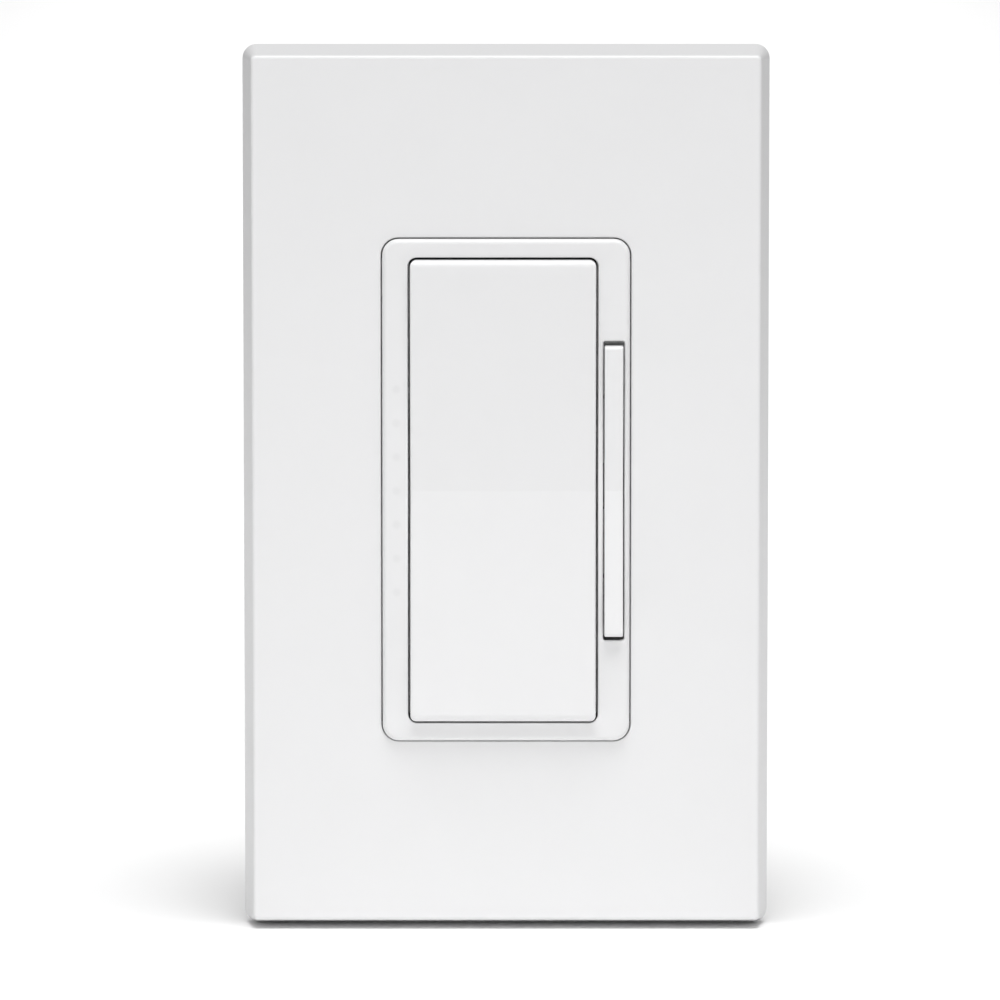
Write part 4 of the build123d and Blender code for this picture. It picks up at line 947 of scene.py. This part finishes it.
@dataclass
class SubAssembly:
    """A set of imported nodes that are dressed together."""

    nodes: dict[str, bpy.types.Object]

    def stand_in(self, piece: bpy.types.Object, node: str, slot: str) -> None:
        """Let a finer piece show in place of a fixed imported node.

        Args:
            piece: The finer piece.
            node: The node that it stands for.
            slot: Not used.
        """
        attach(piece, "base")
        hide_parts(node)

    def dress(self, name: str, material: bpy.types.Material) -> None:
        """Put one finish on a whole node.

        Args:
            name: The node.
            material: Its finish.
        """
        piece = self.nodes[name]
        if not piece.material_slots:
            piece.data.materials.append(material)
        for slot in piece.material_slots:
            slot.material = material
        LOG.info("dressed %s in %s", name, material.name)


WHITE: Colour = (0.72, 0.72, 0.725)


@dataclass
class WallFront(SubAssembly):
    """Everything that shows from the room: plate, bezel, paddle and bar."""

    light_height: float = 1.2 * MM
    light_count: int = 7
    paddle_lip: float = 0.45 * MM
    bar_lip: float = 0.8 * MM
    bar_shade_tone: float = 0.25

    def build(self) -> None:
        """Dress the visible front pieces."""
        self.dress("faceplate", MouldedPlastic("plate_white", WHITE).material())
        bezel_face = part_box("bezel_frame")[0].y
        # The paddle's and the bar's walls get painted shade from a lip behind the bezel's face inwards.
        paddle_shade_start = bezel_face + self.paddle_lip
        paddle = SeamShadePlastic("paddle_white_seam_shade", WHITE, grain=0.3 * MM, painted_shade_from=paddle_shade_start)
        self.dress("paddle", paddle.material())
        bar_shade_start = bezel_face + self.bar_lip
        bar = SeamShadePlastic(
            "bar_white_seam_shade", shade(WHITE, 1.02), painted_shade_from=bar_shade_start, painted_shade_tone=self.bar_shade_tone
        )
        self.dress("dim_bar", bar.material())
        skin = LitSkin(
            "bezel_white",
            WHITE,
            centres=self._light_centres(),
            box=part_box("bezel_frame"),
            plate_face=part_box("faceplate")[0].y,
        )
        self.dress("bezel_frame", skin.material())

    def _light_centres(self) -> tuple[tuple[float, float], ...]:
        """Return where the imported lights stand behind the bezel, as X and Z."""
        low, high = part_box("level_leds")
        first = low[2] + self.light_height / 2
        pitch = (high[2] - low[2] - self.light_height) / (self.light_count - 1)
        x = (low[0] + high[0]) / 2
        return tuple((x, first + i * pitch) for i in range(self.light_count))


@dataclass
class StrapGroup(SubAssembly):
    """Subplate, strap, and the screws and washers on them."""

    thread_radius: float = 1.75 * MM
    box_head_height: float = 1.6 * MM
    box_screw_neck: float = 0.45 * MM
    plate_head_depth: float = 1.5 * MM
    plate_neck: float = 0.3 * MM
    housing_head_radius: float = 2.1 * MM
    housing_head_height: float = 1.5 * MM
    housing_thread_radius: float = 1.2 * MM
    housing_thread_length: float = 5.0 * MM
    housing_pitch: float = 0.6 * MM
    housing_slot: float = 0.6 * MM
    ground_thread_radius: float = 2.0 * MM
    ground_head_height: float = 2.2 * MM
    ground_neck: float = 0.2 * MM

    def build(self) -> None:
        """Dress the mounting pieces."""
        tray = MouldedPlastic("tray_white", (0.78, 0.78, 0.76), roughness=0.5, grain=0.6 * MM)
        self.dress("subplate", tray.material())
        rolled = PlatedMetal("rolled_aluminium", (0.80, 0.80, 0.81), roughness=0.34)
        self.dress("mounting_strap", rolled.material())
        zinc = PlatedMetal("zinc_plate", (0.66, 0.66, 0.64), roughness=0.26).material()
        for name in ("mounting_screws", "subplate_screws", "transistor_screws", "housing_screws"):
            self.dress(name, zinc)
        green = PlatedMetal("green_dye", (0.05, 0.34, 0.12), roughness=0.3).material()
        self.dress("ground_screw", green)
        self.dress("retaining_washers", PressedFibre("red_fibre", (0.36, 0.06, 0.05)).material())
        self._box_screws(zinc)
        self._plate_screws(zinc)
        self._housing_screws(zinc)
        self._ground_screw(green)

    def _box_screws(self, finish: bpy.types.Material) -> None:
        """Make the two wall-box screws with their threads.

        Args:
            finish: The screws' plating.
        """
        low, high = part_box("mounting_screws")
        head_radius = (high.x - low.x) / 2
        reach = high.z - head_radius
        for end, z in (("upper", reach), ("lower", -reach)):
            screw = MachineScrew(
                name=f"box_screw_{end}",
                seat=Vector(((low.x + high.x) / 2, low.y, z)),
                direction=Direction.INTO_WALL,
                length=high.y - low.y,
                head_radius=head_radius,
                head_height=self.box_head_height,
                shank_radius=self.thread_radius,
                plain=-low.y - self.box_head_height + self.box_screw_neck,
            )
            self.stand_in(screw.build(finish), "mounting_screws", "steel_screw")

    def _plate_screws(self, finish: bpy.types.Material) -> None:
        """Make the two countersunk screws that hold the subplate.

        Args:
            finish: The screws' plating.
        """
        low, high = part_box("subplate_screws")
        head_radius = (high.x - low.x) / 2
        for end, z in (("upper", high.z - head_radius), ("lower", low.z + head_radius)):
            screw = MachineScrew(
                name=f"plate_screw_{end}",
                seat=Vector(((low.x + high.x) / 2, low.y, z)),
                direction=Direction.INTO_WALL,
                length=high.y - low.y,
                head_radius=head_radius,
                head_height=self.plate_head_depth,
                shank_radius=self.thread_radius,
                plain=self.plate_neck,
                form=HeadForm.FLAT,
            )
            self.stand_in(screw.build(finish), "subplate_screws", "steel_screw")

    def _housing_screws(self, finish: bpy.types.Material) -> None:
        """Make the four long screws that draw the housing to the strap.

        Args:
            finish: The screws' plating.
        """
        low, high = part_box("housing_screws")
        inset = self.housing_head_radius
        length = high.y - low.y
        for side, x in (("left", low.x + inset), ("right", high.x - inset)):
            for end, z in (("upper", high.z - inset), ("lower", low.z + inset)):
                screw = MachineScrew(
                    name=f"housing_screw_{side}_{end}",
                    seat=Vector((x, high.y, z)),
                    direction=Direction.OUT_OF_WALL,
                    length=length,
                    head_radius=inset,
                    head_height=self.housing_head_height,
                    shank_radius=self.housing_thread_radius,
                    plain=length - self.housing_head_height - self.housing_thread_length,
                    pitch=self.housing_pitch,
                    segments=36,
                    slot_width=self.housing_slot,
                )
                self.stand_in(screw.build(finish), "housing_screws", "steel_screw")

    def _ground_screw(self, finish: bpy.types.Material) -> None:
        """Make the hex-head ground screw with its thread.

        Args:
            finish: The screw's dyed plating.
        """
        low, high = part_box("ground_screw")
        screw = MachineScrew(
            name="ground_screw_threaded",
            seat=Vector(((low.x + high.x) / 2, (low.y + high.y) / 2, low.z)),
            direction=Direction.UP,
            length=high.z - low.z,
            head_radius=(high.x - low.x) / 2,
            head_height=self.ground_head_height,
            shank_radius=self.ground_thread_radius,
            plain=self.ground_neck,
            form=HeadForm.HEX,
            drive=Drive.SINGLE,
        )
        self.stand_in(screw.build(finish), "ground_screw", "green_screw")


@dataclass
class Mechanism(SubAssembly):
    """Carrier, pins, push rods, springs, slider and light pipe."""

    paddle_wire: float = 0.3 * MM
    paddle_turns: int = 5
    bar_wire: float = 0.22 * MM
    bar_turns: int = 4

    def build(self) -> None:
        """Dress the moving pieces behind the front."""
        nylon = MouldedPlastic("black_nylon", (0.04, 0.04, 0.043), roughness=0.45).material()
        self.dress("rocker_carrier", nylon)
        acetal = MouldedPlastic("natural_acetal", (0.68, 0.67, 0.62), roughness=0.38).material()
        for rocker in ("paddle", "bar"):
            for end in ("upper", "lower"):
                self.dress(f"{rocker}_plunger_{end}", acetal)
        brown = MouldedPlastic("brown_acetal", (0.045, 0.032, 0.025), roughness=0.45).material()
        self.dress("airgap_slider", brown)
        ground = PlatedMetal("ground_steel", (0.60, 0.60, 0.61), 0.2, stretch=(0.08, 1.0, 1.0)).material()
        self.dress("rocker_pin", ground)
        self.dress("bar_pin", ground)
        wire = PlatedMetal("spring_wire", (0.55, 0.55, 0.56), 0.25).material()
        self._springs("paddle", "base", self.paddle_wire, self.paddle_turns, wire)
        self._springs("bar", "slider_body", self.bar_wire, self.bar_turns, wire)
        self.dress("light_pipe", ClearMoulding("clear_pipe", (0.93, 0.95, 0.95)).material())
        self.dress("level_leds", CoatedPart("light_package", (0.82, 0.80, 0.62)).material())

    def _springs(self, rocker: str, seat: str, wire: float, turns: int, finish: bpy.types.Material) -> None:
        """Wind the two springs of a rocker between their seat and their push rods.

        Args:
            rocker: The rocker's name, paddle or bar.
            seat: Not used.
            wire: The wire's diameter.
            turns: The number of turns.
            finish: The wire's finish.
        """
        low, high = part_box(f"{rocker}_springs")
        outer = (high.x - low.x) / 2
        x = (low.x + high.x) / 2
        for end, z in (("upper", high.z - outer), ("lower", low.z + outer)):
            front, back = Vector((x, low.y, z)), Vector((x, high.y, z))
            spring = ReturnSpring(f"{rocker}_spring_{end}", front, back, outer - wire / 2, wire, turns)
            piece = spring.build(finish)
            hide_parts(f"{rocker}_springs")
            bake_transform(piece)
            LOG.info("wound %s", spring.name)


@dataclass
class Electronics(SubAssembly):
    """Boards and every part on them."""

    def build(self) -> None:
        """Dress the boards and components."""
        board = BoardLaminate("green_board", (0.03, 0.19, 0.09)).material()
        self.dress("control_board", board)
        self.dress("power_board", board)
        black = MouldedPlastic("black_moulding", (0.03, 0.03, 0.032), roughness=0.42, mottle=0.1).material()
        for name in ("tact_switch_bodies", "power_transistors", "bridge_rectifier", "board_header"):
            self.dress(name, black)
        stem = MouldedPlastic("stem_black", (0.06, 0.06, 0.065), roughness=0.35).material()
        for place in ("paddle_switch", "bar_switch"):
            for end in ("upper", "lower"):
                self.dress(f"{place}_stem_{end}", stem)
        chip = CoatedPart("chip_black", (0.035, 0.035, 0.04), roughness=0.5, coat=0.0).material()
        self.dress("microcontroller", chip)
        self.dress("board_resistors", chip)
        self.dress("insulator_pads", CoatedPart("pad_grey", (0.40, 0.40, 0.42), 0.7, coat=0.0).material())
        self.dress("toroid_core", CoatedPart("core_coat", (0.10, 0.11, 0.12), 0.45).material())
        enamel = PlatedMetal("enamelled_copper", (0.62, 0.28, 0.14), 0.24).material()
        self.dress("choke_winding", enamel)
        self.dress("airgap_blade", PlatedMetal("bare_copper", (0.78, 0.42, 0.28), 0.3).material())
        self.dress("airgap_contacts", PlatedMetal("contact_brass", (0.78, 0.60, 0.30), 0.3).material())
        sleeve = CoatedPart("can_sleeve", (0.03, 0.03, 0.06), 0.25, coat=0.5).material()
        self.dress("filter_capacitor", sleeve)
        self.dress("film_capacitor", CoatedPart("film_yellow", (0.66, 0.50, 0.08), 0.35).material())
        blue = CoatedPart("varistor_blue", (0.04, 0.11, 0.34), 0.3, coat=0.5).material()
        self.dress("surge_varistor", blue)
        self.dress("fuse", ClearMoulding("fuse_glass", (0.88, 0.90, 0.88)).material())
        tape = CoatedPart("tape_yellow", (0.58, 0.50, 0.22), 0.5, coat=0.0).material()
        self.dress("supply_transformer", tape)


@dataclass
class Housing(SubAssembly):
    """Rear housing and the terminals in its sides."""

    thread_radius: float = 1.75 * MM
    head_height: float = 2.2 * MM
    neck: float = 1.2 * MM

    def build(self) -> None:
        """Dress the housing and the terminals."""
        shell = MouldedPlastic("housing_black", (0.045, 0.045, 0.05), 0.48, 0.5 * MM, 0.012 * MM, 0.08)
        self.dress("housing", shell.material())
        self.dress("terminal_brackets", PlatedMetal("bracket_brass", (0.76, 0.58, 0.28), 0.32).material())
        self.dress("terminal_clamp_plates", PlatedMetal("clamp_zinc", (0.62, 0.62, 0.60), 0.34).material())
        self._terminal_screw("line", PlatedMetal("screw_brass", (0.80, 0.60, 0.26), 0.24), "brass")
        self._terminal_screw("load", PlatedMetal("screw_black", (0.08, 0.08, 0.085), 0.35), "black_screw")
        self._terminal_screw("neutral", PlatedMetal("screw_silver", (0.72, 0.72, 0.70), 0.22), "steel_screw")
        self._terminal_screw("traveler", PlatedMetal("screw_blue", (0.06, 0.14, 0.42), 0.28), "blue_screw")

    def _terminal_screw(self, wire: str, finish: PlatedMetal, slot: str) -> None:
        """Make one side terminal's screw with its thread.

        Args:
            wire: The wire that it clamps.
            finish: The screw's plating.
            slot: The record's material slot.
        """
        node = f"{wire}_terminal_screw"
        material = finish.material()
        self.dress(node, material)
        low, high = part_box(node)
        on_right = low.x > 0.0
        outer = high.x if on_right else low.x
        screw = MachineScrew(
            name=f"{wire}_screw_threaded",
            seat=Vector((outer, (low.y + high.y) / 2, (low.z + high.z) / 2)),
            direction=Direction.LEFT if on_right else Direction.RIGHT,
            length=high.x - low.x,
            head_radius=(high.y - low.y) / 2,
            head_height=self.head_height,
            shank_radius=self.thread_radius,
            plain=self.neck,
        )
        self.stand_in(screw.build(material), node, slot)


def main() -> None:
    """Load the frame, dress each sub-assembly in order, and set the studio."""
    logging.basicConfig(level=logging.INFO, format="%(name)s: %(message)s")
    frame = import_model()
    packed_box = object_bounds()
    nodes = frame["nodes"]
    for group in (WallFront, StrapGroup, Mechanism, Electronics, Housing):
        group(nodes).build()
        LOG.info("%s finished", group.__name__)
    Studio().build(packed_box[0].z)


if __name__ == "__main__":
    main()
